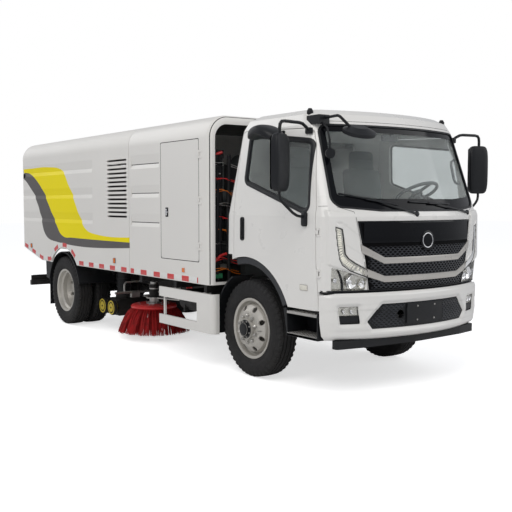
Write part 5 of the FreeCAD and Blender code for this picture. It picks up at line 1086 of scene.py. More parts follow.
lampShade = finish("lampShade", (0.52, 0.51, 0.47), 0.24, metal=0.85, vary=0.05)
cheek = {
    "outline": ((1.030, 1.700), (1.022, 1.215), (0.985, 1.190), (0.843, 1.150), (0.678, 1.094),
                (0.795, 1.680)),
    "fold": ((0.955, 1.588), (0.905, 1.592), (0.765, 1.470), (0.700, 1.190), (0.840, 1.270), (0.884, 1.310),
             (0.892, 1.390), (0.908, 1.530)),
    "step": ((0.886, 1.400), (0.735, 1.310), (0.700, 1.190), (0.840, 1.270), (0.884, 1.310)),
    "lift": 0.0185, "recess": 0.0075, "grid": 0.0060, "start": (0.655, 1.082), "span": (0.39, 0.63),
}
runLamp = {
    "outer": ((0.959, 1.546), (0.950, 1.450), (0.943, 1.378), (0.926, 1.259), (0.901, 1.210),
              (0.832, 1.161), (0.668, 1.098)),
    "inner": ((0.905, 1.526), (0.894, 1.450), (0.887, 1.380), (0.880, 1.305), (0.846, 1.262),
              (0.790, 1.222), (0.676, 1.160)),
    "blocks": 24,
}
fogLamp = {
    "lens": ((0.736, 0.750), (0.910, 0.750), (0.920, 0.829), (0.747, 0.829)),
    "cover": ((0.730, 0.682), (0.903, 0.682), (0.911, 0.748), (0.739, 0.748)),
    "bowls": ((0.795, 0.791), (0.862, 0.791)),
}


def smooth(t):
    # an even S from 0 to 1
    t = max(0, min(1, t))
    return t * t * (3 - 2 * t)


def depthIn(point, outline):
    # distance to an outline, positive inside it
    near = 9
    for i, q in enumerate(outline):
        a = outline[i - 1]
        edge = q - a
        t = max(0, min(1, (point - a).dot(edge) / edge.length_squared))
        near = min(near, (point - a - edge * t).length)
    return near if inside(point, outline) else -near


cheekLine = [Vector(p) for p in cheek["outline"]]
foldLine = [Vector(p) for p in cheek["fold"]]
stepLine = [Vector(p) for p in cheek["step"]]
armLine = [Vector(p) for p in runLamp["outer"]] + [Vector(p) for p in reversed(runLamp["inner"])]


def cheekLift(y, z):
    p = Vector((y, z))
    lift = cheek["lift"] * smooth((depthIn(p, cheekLine) + 0.001) / 0.013)
    lift -= cheek["recess"] * smooth((depthIn(p, foldLine) + 0.006) / 0.012)
    lift -= cheek["recess"] * 0.6 * smooth((depthIn(p, stepLine) + 0.004) / 0.010)
    bed = smooth((depthIn(p, armLine) + 0.008) / 0.006)
    return lift + (0.0025 - lift) * bed


cheekField = {}
grid = cheek["grid"]
startY, startZ = cheek["start"]
for i in range(int(cheek["span"][0] / grid)):
    for j in range(int(cheek["span"][1] / grid)):
        cheekField[i, j] = cheekLift(startY + i * grid, startZ + j * grid)

for word, side in sides:
    form = Maker()
    for i, j in cheekField:
        around = ((i, j), (i + 1, j), (i + 1, j + 1), (i, j + 1))
        if around[2] not in cheekField or max(cheekField[c] for c in around) <= 0.0002:
            continue
        quad = [onFront(side * (startY + a * grid), startZ + b * grid, cheekField[a, b] - 0.0006)
                for a, b in around]
        form.add(quad, [(0, 1, 2, 3) if side > 0 else (3, 2, 1, 0)])
    form.piece(f"cheekPanel_{word}", "cab", "white_paint", [cabPaint], crease=50)

    outline = clean(rounded([(side * y, z, r) for y, z, r in opening["lamp"]], 4))
    shell = Maker()
    frameStrip(shell, outline, onFront, [(-0.0005, -0.0035), (-0.0015, -0.0290)])
    lampFill(shell, grown(outline, -0.0015), onFront, -0.0285)
    shell.mat = 1
    for y, z, radius in ((0.800, 1.056, 0.066), (0.702, 1.030, 0.040), (0.945, 1.070, 0.022)):
        bowl(shell, onFront(side * y, z, -0.0040), towards(onFront, side * y, z), radius, 0.023)
    shell.mat = 2
    curve = []
    for k in range(11):
        t = k / 10
        curve.append((0.919 - 0.050 * t - 0.012 * math.sin(math.pi * t), 1.160 - 0.185 * t))
    shell.tube([onFront(side * y, z, -0.0045) for y, z in curve], 0.0042, 8)
    shell.rows([[onFront(side * (y + aside), z, lift) for y, z in curve]
                for aside, lift in ((-0.002, -0.006), (0.002, -0.024))])
    shell.mat = 3
    frameStrip(shell, outline, onFront, [(-0.0008, -0.0032), (-0.0016, -0.0006), (-0.006, 0.0002)])
    lampFill(shell, grown(outline, -0.006), onFront, 0.0002)
    obj = shell.piece(f"headlampUnit_{word}", "cab", "lamp", [lampShade, chromeTrim, sealMat, lensGlass],
                      crease=30)
    if word == "left":
        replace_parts(obj, "headlamps")

    # running lamp: a lit strip in the shape of a bent arm, in its bed
    outer = [Vector(p) for p in runLamp["outer"]]
    innerEdge = [Vector(p) for p in runLamp["inner"]]
    strip = Maker()
    strip.mat = 1
    between = [(a + b) / 2 for a, b in zip(outer, innerEdge)]
    strip.rows([[onFront(side * p.x, p.y, 0.0032) for p in line] for line in (outer, between, innerEdge)])
    strip.mat = 0
    for k in range(runLamp["blocks"]):
        t = (k + 0.5) / runLamp["blocks"] * (len(outer) - 1)
        i = min(int(t), len(outer) - 2)
        a = outer[i].lerp(outer[i + 1], t - i)
        b = innerEdge[i].lerp(innerEdge[i + 1], t - i)
        m = a.lerp(b, 0.5)
        along = (outer[i + 1] - outer[i]).normalized() * 0.0075
        aside = (b - a) * 0.26
        quad = [m - along - aside, m + along - aside, m + along + aside, m - along + aside]
        foot = [onFront(side * p.x, p.y, 0.0034) for p in quad]
        top = [m + (p - m) * 0.6 for p in quad]
        peak = [onFront(side * p.x, p.y, 0.0075) for p in top]
        strip.rows([foot, peak], around=True)
        strip.add(peak, [(0, 1, 2, 3)])
    strip.mat = 2
    lens = []
    for f in (0, 0.2, 0.5, 0.8, 1):
        line = [a + (b - a) * f for a, b in zip(outer, innerEdge)]
        lens.append([onFront(side * p.x, p.y, 0.0115 if 0 < f < 1 else 0.0100) for p in line])
    strip.rows(lens)
    strip.mat = 3
    ring = [Vector((side * p.x, p.y)) for p in outer + innerEdge[::-1]]
    ring = clean(split(ring, 0.03))
    frameStrip(strip, ring, onFront, [(0.0065, 0.0020), (0.0060, 0.0108), (0.0030, 0.0125),
                                      (-0.0010, 0.0118), (-0.0015, 0.0030)])
    strip.piece(f"runningLamp_{word}", "cab", "lamp", [creamLens, lampShade, lensGlass, sealMat], crease=30)

    # fog lamp over a black cover
    outline = clean(rounded([(side * y, z, 0.006) for y, z, r in opening["fog"]], 2))
    fog = Maker()
    fog.mat = 2
    frameStrip(fog, outline, bumperAt, [(0.0, -0.0055), (-0.001, -0.0190)])
    lampFill(fog, grown(outline, -0.001), bumperAt, -0.0185)
    face = [Vector((side * y, z)) for y, z in fogLamp["lens"]]
    fog.mat = 3
    frameStrip(fog, face, bumperAt, [(0, -0.0025), (-0.002, -0.0060)])
    lampFill(fog, grown(face, -0.002), bumperAt, -0.0150)
    fog.mat = 0
    for y, z in fogLamp["bowls"]:
        bowl(fog, bumperAt(side * y, z, -0.0045), towards(bumperAt, side * y, z), 0.027, 0.012)
    fog.mat = 1
    lampFill(fog, face, bumperAt, -0.0035)
    fog.mat = 2
    cover = [Vector((side * y, z)) for y, z in fogLamp["cover"]]
    frameStrip(fog, cover, bumperAt, [(0, -0.018), (-0.003, -0.006), (-0.010, -0.005)])
    lampFill(fog, grown(cover, -0.010), bumperAt, -0.005)
    obj = fog.piece(f"fogLamp_{word}", "chassis", "lamp", [chromeTrim, lensGlass, blackPlastic, lampShade],
                    crease=30)
    if word == "left":
        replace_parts(obj, "chassis_lamps")

    # side and tail lamps
    small = Maker()
    small.sideBox(side, (1.266, 1.1622, 1.000), (1.310, 1.174, 1.048))
    small.mat = 1
    small.sideBox(side, (-3.712, 0.660, 0.530), (-3.680, 0.770, 0.596))
    small.sideBox(side, (-3.712, 0.776, 0.530), (-3.680, 0.886, 0.596))
    small.mat = 0
    small.sideBox(side, (-3.712, 0.892, 0.530), (-3.680, 1.002, 0.596))
    small.mat = 2
    small.sideBox(side, (-3.704, 0.654, 0.524), (-3.692, 1.008, 0.602))
    small.piece(f"chassisLenses_{word}", "chassis", "lamp", [amberLens, redLens, blackPlastic], bevel=0.003)

# screws of the plate board, and a dark lip under the cab's front, a painted shade for the black gap between
# cab and bumper
spots = []
board = {"y": (-0.115, 0.115), "z": (0.676, 0.806), "face": 0.0102}
for y, z in ((y, z) for y in board["y"] for z in board["z"]):
    spots.append((bumperAt(y, z, board["face"]), Vector((1, 0, 0)), Vector((0, 0, 1))))
repeated("plateScrews", "chassis", "steel", steel, spots, turnedPattern(boltShape, 12), 0.85, 0.85)
# painted shade: a dark strip on the cab face above the bumper, where the gap lies in shade
lip = Maker()
lip.rows([[onFront(y, z, lift) for y in spread(1.045, 40)] for z, lift in
          ((0.9540, -0.0105), (0.9535, -0.0078), (0.9650, -0.0074), (0.9660, 0.0015), (0.9680, 0.0035),
           (0.9760, 0.0030), (0.9780, 0.0004))])
lip.piece("cabLip", "cab", "rubber", [sealMat], crease=30)

# rubber bead along the bumper's top edge
bead = Maker()
bead.rows([[bumperAt(y, z, lift) for y in spread(0.93, 36)] for z, lift in
           ((0.9515, -0.0125), (0.9560, -0.0120), (0.9570, -0.0100), (0.9570, -0.0045), (0.9560, -0.0025),
            (0.9515, -0.0020))])
bead.piece("bumperBead", "chassis", "rubber", [sealMat], crease=40, outward=True)

# the bumper with the raised forms round its openings, and its side returns
bumper = {"raise": 0.0215, "slope": 0.036, "fogSlope": 0.030, "crease": 0.0045,
          "from": 0.925, "cut": 3.552, "to": 3.462, "skin": 0.006, "foot": 0.5245, "tall": 0.427}
meshLine = [Vector(p[:2]) for p in opening["mesh"]]
fogLine = [Vector(p[:2]) for p in opening["fog"]]


def bumperRise(y, z):
    # how far the bumper's face stands forward of its plain bowed form
    p = Vector((abs(y), z))
    level = min(smooth(-depthIn(p, meshLine) / bumper["slope"]),
                smooth(-depthIn(p, fogLine) / bumper["fogSlope"]))
    rise = bumper["raise"] * level * smooth((1.07 - abs(y)) / 0.12) * smooth((0.955 - z) / 0.026)
    crease = smooth(1 - abs(z - 0.604) / 0.014) + 0.6 * smooth(1 - abs(z - 0.872 + 0.05 * abs(y)) / 0.012)
    if abs(y) < 1.0:
        rise -= bumper["crease"] * crease * level
    return rise * smooth((z - 0.524) / 0.020)


def sculptBumper(bm):
    cuts = [((0, 1, 0), Vector((0, -1.05 + 0.021 * k, 0))) for k in range(101)]
    cuts += [((0, 0, 1), Vector((0, 0, 0.534 + 0.009 * k))) for k in range(47)]
    for facing, place in cuts:
        bmesh.ops.bisect_plane(bm, geom=bm.verts[:] + bm.edges[:] + bm.faces[:], dist=0.0002, plane_co=place,
                               plane_no=facing)
    for vert in bm.verts:
        if vert.co.x > 3.48:
            vert.co.x += bumperRise(vert.co.y, vert.co.z)
    bm.normal_update()
    # painted shade: the bumper's flat top under the cab gets the dark seal finish, for the shaded gap
    # between cab and bumper
    for face in bm.faces:
        if face.normal.z > 0.8 and face.calc_center_median().z > 0.93:
            face.material_index = 1


skinOf("front_bumper", "bumperShell", [cabPaint, sealMat], 40, sculptBumper)


def bumperPlan(z, inset):
    # the bumper's end in plan: the last of the bow, then the corner arc
    half, front = sectionAt(z, bumperRows)[2:]
    lean, corner, turnX, turnY = cornerOf(half, front)
    middle = Vector((turnX, turnY))
    cut = math.sqrt(bow["radius"] ** 2 - (bumper["cut"] - front + bow["radius"]) ** 2)
    start = math.asin(min(bumper["from"], cut) / bow["radius"])
    last = math.acos((bumper["to"] - middle.x) / corner)
    reach = bow["radius"] - inset
    points = []
    for k in range(5):
        a = start + (lean - start) * k / 4
        points.append(Vector((front - bow["radius"] + reach * math.cos(a), reach * math.sin(a))))
    for k in range(1, 13):
        a = lean + (last - lean) * k / 12
        points.append(middle + Vector((math.cos(a), math.sin(a))) * (corner - inset))
    return points


ends = Maker()
for word, side in sides:
    skins = []
    for inset in (-0.0006, bumper["skin"]):
        rows = []
        for k in range(41):
            z = bumper["foot"] + bumper["tall"] * k / 40
            row = []
            for p in bumperPlan(z, inset):
                drop = 0.012 * smooth((p.y - 0.93) / 0.10) * (k / 40) ** 6
                row.append(Vector((p.x + bumperRise(p.y, z), side * p.y, z - drop)))
            rows.append(row)
        skins.append(rows)
    outer, inner = skins
    ends.rows(outer + inner[::-1], along=True)
    ends.rows([[row[-1] for row in outer], [row[-1] for row in inner]])
ends.piece("bumperEnds", "chassis", "white_paint", [cabPaint], crease=45, outward=True)


def roundSkirt(bm):
    # draws the inserts' lower edge in behind the bumper's corner
    for vert in bm.verts:
        if vert.co.z < 0.530 and vert.co.x > 3.45 and abs(vert.co.y) > 0.5:
            vert.co.y *= 0.955


skinOf("bumper_inserts", "bumperInserts", [blackPlastic], 32, roundSkirt, bevel=0.004)
print("front ready")

# mirrors, wipers, door handles, side lamps, steps and cabin trim

def smoothBox(shape, centre, half, power, rings, around, turn=None, reshape=None):
    # a superellipsoid: half sizes along x, y and z; reshape(point) may change its form
    turn = turn or Matrix.Identity(3)
    rows = []
    for r in range(rings + 1):
        tilt = math.pi * (r / rings - 0.5)
        row = []
        for k in range(around):
            a = 2 * math.pi * k / around
            parts = (math.cos(tilt) * math.cos(a), math.cos(tilt) * math.sin(a), math.sin(tilt))
            size = sum(abs(c) ** power for c in parts) ** (-1 / power)
            p = Vector([c * size * h for c, h in zip(parts, half)])
            row.append(Vector(centre) + turn @ (reshape(p) if reshape else p))
        rows.append(row)
    shape.rows(rows, around=True)


def mirrorForm(p):
    # the back face is pressed flat round the glass
    if p.x < -0.030:
        p.x = -0.030 - (p.x + 0.030) * -0.35
    if p.x > 0:
        p.x *= 1 - 0.25 * (p.z / 0.26) ** 2
    return p


def hoodForm(p):
    # a long hood, open and flat underneath, drawn down at its front
    if p.z < -0.012:
        p.z = -0.012 - (p.z + 0.012) * -0.3
    p.z += 0.045 * (1 - (p.x / 0.215) ** 2) - 0.20 * abs(p.x) * (p.x > 0)
    p.y *= 1 - 0.25 * (p.x / 0.22) ** 2
    return p


mirror = {
    "centre": (3.262, 1.352, 2.118), "half": (0.046, 0.108, 0.256), "yaw": 20, "pane": (0.094, 0.238),
    "topArm": ((3.215, 0.985, 2.418), (3.222, 1.030, 2.452), (3.235, 1.080, 2.476), (3.240, 1.120, 2.482),
               (3.256, 1.300, 2.484), (3.262, 1.338, 2.478), (3.264, 1.357, 2.455), (3.264, 1.362, 2.420),
               (3.264, 1.362, 2.340)),
    "lowArm": ((3.262, 1.362, 1.920), (3.262, 1.362, 1.830), (3.262, 1.352, 1.795), (3.264, 1.325, 1.765),
               (3.265, 1.210, 1.672), (3.267, 1.165, 1.648), (3.268, 1.120, 1.640), (3.268, 1.066, 1.640)),
    "hoodArm": ((2.830, 0.985, 2.418), (2.830, 1.040, 2.436), (2.830, 1.080, 2.440), (2.830, 1.120, 2.432)),
}
handle = {"low": (2.252, 1.386), "high": (2.322, 1.622), "round": 0.026, "barX": 2.300,
          "lock": (2.272, 1.415)}
repeater = {"low": (3.190, 0.962), "high": (3.305, 1.020), "round": 0.014}
step = {"tops": (0.544, 0.751), "rear": 2.998, "front": 3.424, "inner": 0.832, "outer": 1.058, "gap": 0.002,
        "thick": 0.003, "lip": 0.004, "drop": 0.020, "studs": (16, 8), "first": (3.018, 0.848),
        "pitch": (0.0258, 0.0276)}
for word, side in sides:
    head = Maker()
    turn = Matrix.Rotation(math.radians(-side * mirror["yaw"]), 3, "Z")
    centre = Vector(sided([mirror["centre"]], side)[0])
    smoothBox(head, centre, mirror["half"], 5.5, 26, 44, turn, mirrorForm)
    head.tube(sided(mirror["topArm"], side), 0.0150, 12)
    head.tube(sided(mirror["lowArm"], side), 0.0130, 12)
    smoothBox(head, (3.215, side * 0.985, 2.418), (0.040, 0.020, 0.030), 6, 10, 20)
    smoothBox(head, (3.268, side * 1.078, 1.615), (0.035, 0.022, 0.066), 6, 10, 20)
    head.mat = 1
    wide, tall = mirror["pane"]
    outline = plate((-wide, -tall), (wide, tall), 0.030, 6)
    pane = [centre + turn @ Vector((-0.0485, p.x, p.y)) for p in outline]
    head.add(pane, [tuple(reversed(range(len(pane))))])
    if side < 0:
        head.mat = 0
        smoothBox(head, (2.830, -1.190, 2.376), (0.212, 0.128, 0.070), 3.0, 24, 44, None, hoodForm)
        head.tube(sided(mirror["hoodArm"], side), 0.0150, 12)
        smoothBox(head, (2.830, -0.985, 2.418), (0.042, 0.020, 0.028), 6, 10, 20)
    obj = head.piece(f"mirrorSet_{word}", f"{word}_door", "black_plastic", [blackPlastic, mirrorMat],
                     crease=40)
    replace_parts(obj, f"mirror_{word}")

    # a handle in its recess
    grip = Maker()
    place = onFlank(side)
    outer = plate(handle["low"], handle["high"], handle["round"], 6)
    frameStrip(grip, outer, place, [(0.0, 0.0002), (-0.001, 0.006), (-0.006, 0.0075), (-0.010, 0.006),
                                    (-0.011, 0.0009)])
    capped(grip, grown(outer, -0.0105), place, 0.0009)
    grip.mat = 1
    bar = ((1.412, 0.002), (1.420, 0.012), (1.446, 0.016), (1.505, 0.017), (1.560, 0.016), (1.588, 0.012),
           (1.596, 0.002))
    grip.tube([place(handle["barX"], z, lift) for z, lift in bar], 0.0085, 10)
    lock = [(0.011, 0.0), (0.011, 0.003), (0.008, 0.004), (0, 0.004)]
    grip.turned(lock, place(*handle["lock"], 0.001), (0, side, 0), 20)
    grip.piece(f"doorHandle_{word}", f"{word}_door", "black_plastic", [blackPlastic, glossBlack], crease=32)

    # the side repeater
    small = Maker()
    small.mat = 1
    outer = plate(repeater["low"], repeater["high"], repeater["round"], 5)
    frameStrip(small, outer, place, [(0.0, 0.0002), (-0.001, 0.004), (-0.006, 0.005)])
    small.mat = 0
    frameStrip(small, outer, place, [(-0.006, 0.0045), (-0.009, 0.0095), (-0.016, 0.0115)])
    capped(small, grown(outer, -0.016), place, 0.0115)
    small.piece(f"sideRepeater_{word}", f"{word}_door", "lamp", [creamLens, silverTrim], crease=30)

    # silver treads on the steps, with raised studs
    treads = Maker()
    spots = []
    rear, front = step["rear"], step["front"]
    edge = step["outer"] + step["gap"]
    for top in step["tops"]:
        face = top + step["thick"]
        treads.sideBox(side, (rear, step["inner"], top), (front, step["outer"], face))
        treads.sideBox(side, (rear, edge, top - step["drop"]), (front, edge + step["lip"], face))
        for i in range(step["studs"][0]):
            for j in range(step["studs"][1]):
                x = step["first"][0] + step["pitch"][0] * i
                y = step["first"][1] + step["pitch"][1] * j
                if i % 2 and j < step["studs"][1] - 1:
                    y += step["pitch"][1] / 2
                spots.append((Vector((x, side * y, face)), Vector((0, 0, 1)), Vector((1, 0, 0))))
    treads.piece(f"stepTreads_{word}", "chassis", "steel", [steel], bevel=0.001)
    stud = turnedPattern([(0.0085, -0.001), (0.0085, 0.0015), (0.0060, 0.0042), (0.0040, 0.0042),
                          (0.0036, 0.0005), (0, 0.0005)], 8)
    repeated(f"stepStuds_{word}", "chassis", "steel", steel, spots, stud)


def wiper(name, pivot, tip, heel):
    # an arm from its spindle to the middle of a blade that lies along the glass
    shape = Maker()
    spindle = [(0.026, 0.0), (0.026, 0.007), (0.020, 0.014), (0, 0.016)]
    shape.turned(spindle, onFront(*pivot, -0.001), (1, 0, 0.1), 20)
    middle = (Vector(tip) + Vector(heel)) / 2
    ahead = (middle - Vector(pivot)).normalized()
    rows = [[], [], [], []]
    for k in range(13):
        t = k / 12
        p = Vector(pivot).lerp(middle, t)
        aside = Vector((-ahead.y, ahead.x)) * (0.008 * (1 - t) + 0.004)
        lift = 0.013 + 0.004 * math.sin(math.pi * t) if t < 0.85 else 0.014
        for row, share, drop in zip(rows, (-1, -0.8, 0.8, 1), (0.006, 0, 0, 0.006)):
            row.append(onFront(*(p + aside * share), lift - drop))
    shape.rows(rows)
    blade = [Vector(heel).lerp(Vector(tip), k / 16) for k in range(17)]
    ahead = (Vector(tip) - Vector(heel)).normalized()
    aside = Vector((-ahead.y, ahead.x))
    for wide, low, high in ((0.0095, 0.001, 0.0075), (0.0035, -0.0085, 0.003)):
        edges = ((-wide, low), (-wide * 0.6, high), (wide * 0.6, high), (wide, low))
        shape.rows([[onFront(*(p + aside * w), lift) for p in blade] for w, lift in edges])
    edges = ((-0.013, 0.004), (-0.011, 0.015), (0.011, 0.015), (0.013, 0.004))
    shape.rows([[onFront(*(middle + ahead * along + aside * w), lift) for along in (-0.045, 0.045)]
                for w, lift in edges])
    shape.piece(name, "cab", "black_plastic", [blackPlastic], crease=34)


wiper("wiperRight", (-0.128, 1.660), (-0.888, 1.846), (-0.330, 1.745))
wiper("wiperLeft", (0.735, 1.668), (-0.185, 1.776), (0.400, 1.752))


def cushion(name, low, high, crown, turn):
    # a sewn seat part: its top, or its front where it stands upright, is crowned between two seams
    shape = Maker()
    centre = (Vector(low) + Vector(high)) / 2
    half = (Vector(high) - Vector(low)) / 2
    upright = half.x < half.z
    face, length, seamAt = (0, 2, 0.1) if upright else (2, 0, -0.05)

    def swell(p):
        across = p.y / half.y
        along = p[length] / half[length]
        full = (1 - abs(along) ** 2.4) * (1 - abs(across) ** 2.4)
        seam = math.exp(-((abs(across) - 0.62) / 0.03) ** 2) + math.exp(-((along - seamAt) / 0.03) ** 2)
        if p[face] / half[face] > 0.55:
            p[face] += crown * full - 0.007 * seam * min(1, full * 3)
        return p

    smoothBox(shape, centre, half, 7, 40, 96, turn, swell)
    obj = shape.piece(name, "cab", "interior", [seatCloth], crease=60)


seatY = 0.460
seats = {
    "seatCushion": {"x": (2.393, 2.918), "z": (1.424, 1.568), "half": 0.247, "crown": 0.020, "lean": 0},
    "seatBack": {"x": (2.350, 2.500), "z": (1.492, 2.138), "half": 0.233, "crown": 0.018, "lean": 8.1},
    "headCushion": {"x": (2.332, 2.436), "z": (2.104, 2.327), "half": 0.146, "crown": 0.010, "lean": 5.4},
}
for word, side in sides:
    for name, seat in seats.items():
        (rear, front), (foot, top), half = seat["x"], seat["z"], seat["half"]
        y = seatY * side
        lean = Matrix.Rotation(math.radians(-seat["lean"]), 3, "Y")
        cushion(f"{name}_{word}", (rear, y - half, foot), (front, y + half, top), seat["crown"], lean)

# inside mirror on its stem, and the grab handle on the driver's pillar
inCab = Maker()
smoothBox(inCab, Vector((3.262, 0, 2.392)), Vector((0.012, 0.115, 0.036)), 5, 20, 40)
inCab.tube([(3.262, 0, 2.400), (3.285, 0, 2.430), (3.335, 0, 2.438)], 0.008, 10)
inCab.tube([(3.375, 0.915, 1.955), (3.350, 0.880, 1.970), (3.335, 0.872, 2.010), (3.305, 0.862, 2.150),
            (3.300, 0.868, 2.190), (3.310, 0.905, 2.205)], 0.013, 12)
inCab.piece("cabInsideFittings", "cab", "interior", [interiorMat], crease=40)
print("fittings ready")

# reflective tape, marker lamps, latches and what shows in the engine housing

tape = {"high": 0.060, "red": 0.150, "white": 0.170, "above": 0.038, "thick": 0.0007, "gap": 0.0010}
bodyFace = 1.162


def onBody(side):
    # the placing of points on one side of the body
    def place(x, z, lift):
        return Vector((x, side * (bodyFace + lift), z))
    return place


def arcPath(centre, radius, start, end):
    points = []
    for k in range(21):
        a = math.radians(start + (end - start) * k / 20)
        points.append(Vector((centre[0] + radius * math.cos(a), centre[1] + radius * math.sin(a))))
    return points


def alongPath(path, lengths, s):
    # the place and direction at a distance along a path
    for a, b, size in zip(path, path[1:], lengths):
        if s <= size + 1e-9:
            return a.lerp(b, s / size), (b - a).normalized()
        s -= size
    return path[-1], (path[-1] - path[-2]).normalized()


def tapeInto(shape, path, place, used=0.0):
    # red and white lengths in turn along a path of (x, z); used is what is missing of the first one
    lengths = [(b - a).length for a, b in zip(path, path[1:])]
    whole = sum(lengths)
    section = ((-0.5, 0.0002), (-0.485, tape["thick"]), (0.485, tape["thick"]), (0.5, 0.0002))
    s = 0.0
    red = True
    while s < whole - 0.02:
        size = min((tape["red"] if red else tape["white"]) - used, whole - s)
        used = 0.0
        rows = [[] for edge in section]
        count = max(1, math.ceil(size / 0.03))
        for k in range(count + 1):
            inset = tape["gap"] if k == 0 else -tape["gap"] if k == count else 0
            p, along = alongPath(path, lengths, min(whole, s + size * k / count + inset))
            up = Vector((-along.y, along.x))
            if up.y < 0:
                up = -up
            for row, (share, lift) in zip(rows, section):
                q = p + up * tape["high"] * share
                row.append(place(q.x, q.y, lift))
        shape.mat = 0 if red else 1
        shape.rows(rows)
        red = not red
        s += size


arch = {"centre": (-2.055, 0.536), "radius": 0.626}
lowLine = 0.895 + tape["above"]
rise = math.degrees(math.asin((lowLine - arch["centre"][1]) / arch["radius"]))
hopperPath = [Vector((-3.590, 1.1055)), Vector((-2.992, 0.9640)), Vector((-2.875, lowLine))]
hopperPath += arcPath(arch["centre"], arch["radius"], 180 - rise, rise)
hopperPath += [Vector((-0.018, lowLine))]
housingPath = [Vector((0.028, lowLine)), Vector((1.590, lowLine))]
markers = {
    "rearMarker": {"at": (-3.304, 1.100), "half": (0.030, 0.034), "lens": 0},
    "middleMarker": {"at": (-0.412, 1.030), "half": (0.030, 0.034), "lens": 0},
    "cornerMarker": {"at": (-3.560, 2.190), "half": (0.020, 0.034), "lens": 1},
}
latchPlate = {"low": (0.900, 1.606), "high": (0.960, 1.712), "round": 0.008}
latchGrip = {"low": (0.911, 1.622), "high": (0.936, 1.696), "round": 0.006, "lock": (0.948, 1.660)}
serviceDoor = {"low": (0.797, 1.135), "high": (1.605, 2.440), "round": 0.01}
for word, side in sides:
    place = onBody(side)
    for name, body, path, used in (("hopperTape", "hopper", hopperPath, 0.0),
                                   ("housingTape", "chassis", housingPath, 0.06)):
        strip = Maker()
        tapeInto(strip, path, place, used)
        strip.piece(f"{name}_{word}", body, "gear_red", [tapeRed, tapeWhite], crease=30, outward=True)

    for name, marker in markers.items():
        (x, z), (wide, tall) = marker["at"], marker["half"]
        outer = plate((x - wide, z - tall), (x + wide, z + tall), 0.006, 3)
        lamp = Maker()
        lamp.mat = 1
        frameStrip(lamp, outer, place, [(0.0, 0.0), (-0.001, 0.005), (-0.004, 0.006)])
        lamp.mat = marker["lens"]
        frameStrip(lamp, outer, place, [(-0.004, 0.0055), (-0.0055, 0.0120), (-0.010, 0.0140)])
        capped(lamp, grown(outer, -0.010), place, 0.0140)
        lamp.piece(f"{name}_{word}", "hopper", "lamp", [amberLens, blackPlastic], crease=30, outward=True)

    # latch of the service door
    latch = Maker()
    outer = plate(latchPlate["low"], latchPlate["high"], latchPlate["round"], 4)
    frameStrip(latch, outer, place, [(0.0, 0.0002), (-0.001, 0.004), (-0.004, 0.005)])
    capped(latch, grown(outer, -0.004), place, 0.005)
    latch.mat = 1
    outer = plate(latchGrip["low"], latchGrip["high"], latchGrip["round"], 4)
    frameStrip(latch, outer, place, [(0.0, 0.005), (-0.0015, 0.010), (-0.004, 0.0115)])
    capped(latch, grown(outer, -0.004), place, 0.0115)
    lock = [(0.008, 0.0), (0.008, 0.0025), (0.006, 0.0035), (0, 0.0035)]
    latch.turned(lock, place(*latchGrip["lock"], 0.005), (0, side, 0), 16)
    latch.piece(f"serviceLatch_{word}", f"{word}_service_door", "steel", [blackPlastic, chromeTrim],
                crease=30, outward=True)

    # a thin dark line round the service door, standing for the shadow of its gap
    gutter = Maker()
    door = split(plate(serviceDoor["low"], serviceDoor["high"], serviceDoor["round"], 3), 0.2)
    frameStrip(gutter, door, place, [(0.0075, 0.0001), (0.0070, 0.0005), (0.0015, 0.0005), (0.0010, -0.004)])
    gutter.piece(f"doorShadow_{word}", "chassis", "rubber", [gapMat], crease=30, outward=True)

# pipes, looms and boxes behind the cab, inside the housing's front opening
loom = {"x": 1.735, "levels": (1.03, 1.14, 1.31, 1.44, 1.57, 1.72, 1.86, 2.00, 2.16)}
random.seed(21)
pipes = Maker()
for n, z in enumerate(loom["levels"]):
    pipes.mat = (0, 3, 1)[n % 3]
    for strand in range(2):
        y0 = -1.105 + 0.02 * strand
        sway = random.uniform(0.02, 0.05)
        x = loom["x"] + 0.012 * strand + random.uniform(-0.01, 0.01)
        path = [(x - 0.05, y0, z + 0.05)]
        for k in range(6):
            path.append((x + 0.02 * math.sin(k * 1.1 + n), y0 + 0.05 + 0.065 * k,
                         z + sway * math.sin(k * 0.75 + strand)))
        pipes.tube(path, 0.0045, 6)
    pipes.mat = 2
    pipes.box((x - 0.018, -1.050, z - 0.030), (x + 0.014, -1.010, z + 0.004))
# corrugated hoses that rise beside the looms
hoses = ((-1.085, 1.690, 0.026), (-1.020, 1.745, 0.020), (-0.955, 1.700, 0.030), (-0.870, 1.740, 0.022))
for y, x, radius in hoses:
    path = []
    for k in range(19):
        path.append(Vector((x + 0.014 * math.sin(k * 0.5 + y * 9), y + 0.012 * math.cos(k * 0.45),
                            0.935 + 0.075 * k)))
    fine = [a.lerp(b, m / 6) for a, b in zip(path, path[1:]) for m in range(6)]
    ribs = [radius * (1.0 if m % 2 else 0.90) for m in range(len(fine))]
    pipes.tube(fine, ribs, 10)
pipes.mat = 4
pipes.tube([(1.700, -0.930, 2.300), (1.720, -0.990, 2.285), (1.730, -1.060, 2.230), (1.735, -1.090, 2.120)],
           0.017, 10)
pipes.tube([(1.745, -0.900, 1.220), (1.750, -0.980, 1.200), (1.748, -1.060, 1.130), (1.740, -1.095, 1.000)],
           0.015, 10)
pipes.mat = 5
pipes.box((1.700, -1.060, 0.960), (1.760, -0.960, 1.010))
pipes.mat = 1
pipes.box((1.690, -0.980, 1.060), (1.752, -0.900, 1.108))
pipes.tube([(1.720, -1.110, 2.070), (1.720, -1.040, 2.075), (1.720, -0.960, 2.070)], 0.010, 8)
pipes.mat = 2
pipes.box((1.640, -0.860, 1.900), (1.700, -0.640, 2.180))
pipes.box((1.650, -1.080, 2.240), (1.700, -0.900, 2.330))
pipes.box((1.650, 0.820, 1.300), (1.710, 1.060, 1.560))
pipes.piece("housingLooms", "chassis", "engine_grey",
            [wireOrange, steel, rubber, brushRed, gearRed, greenPart], bevel=0.003, crease=40)
print("body ready")

# brushes, guide wheels and what hangs under the body

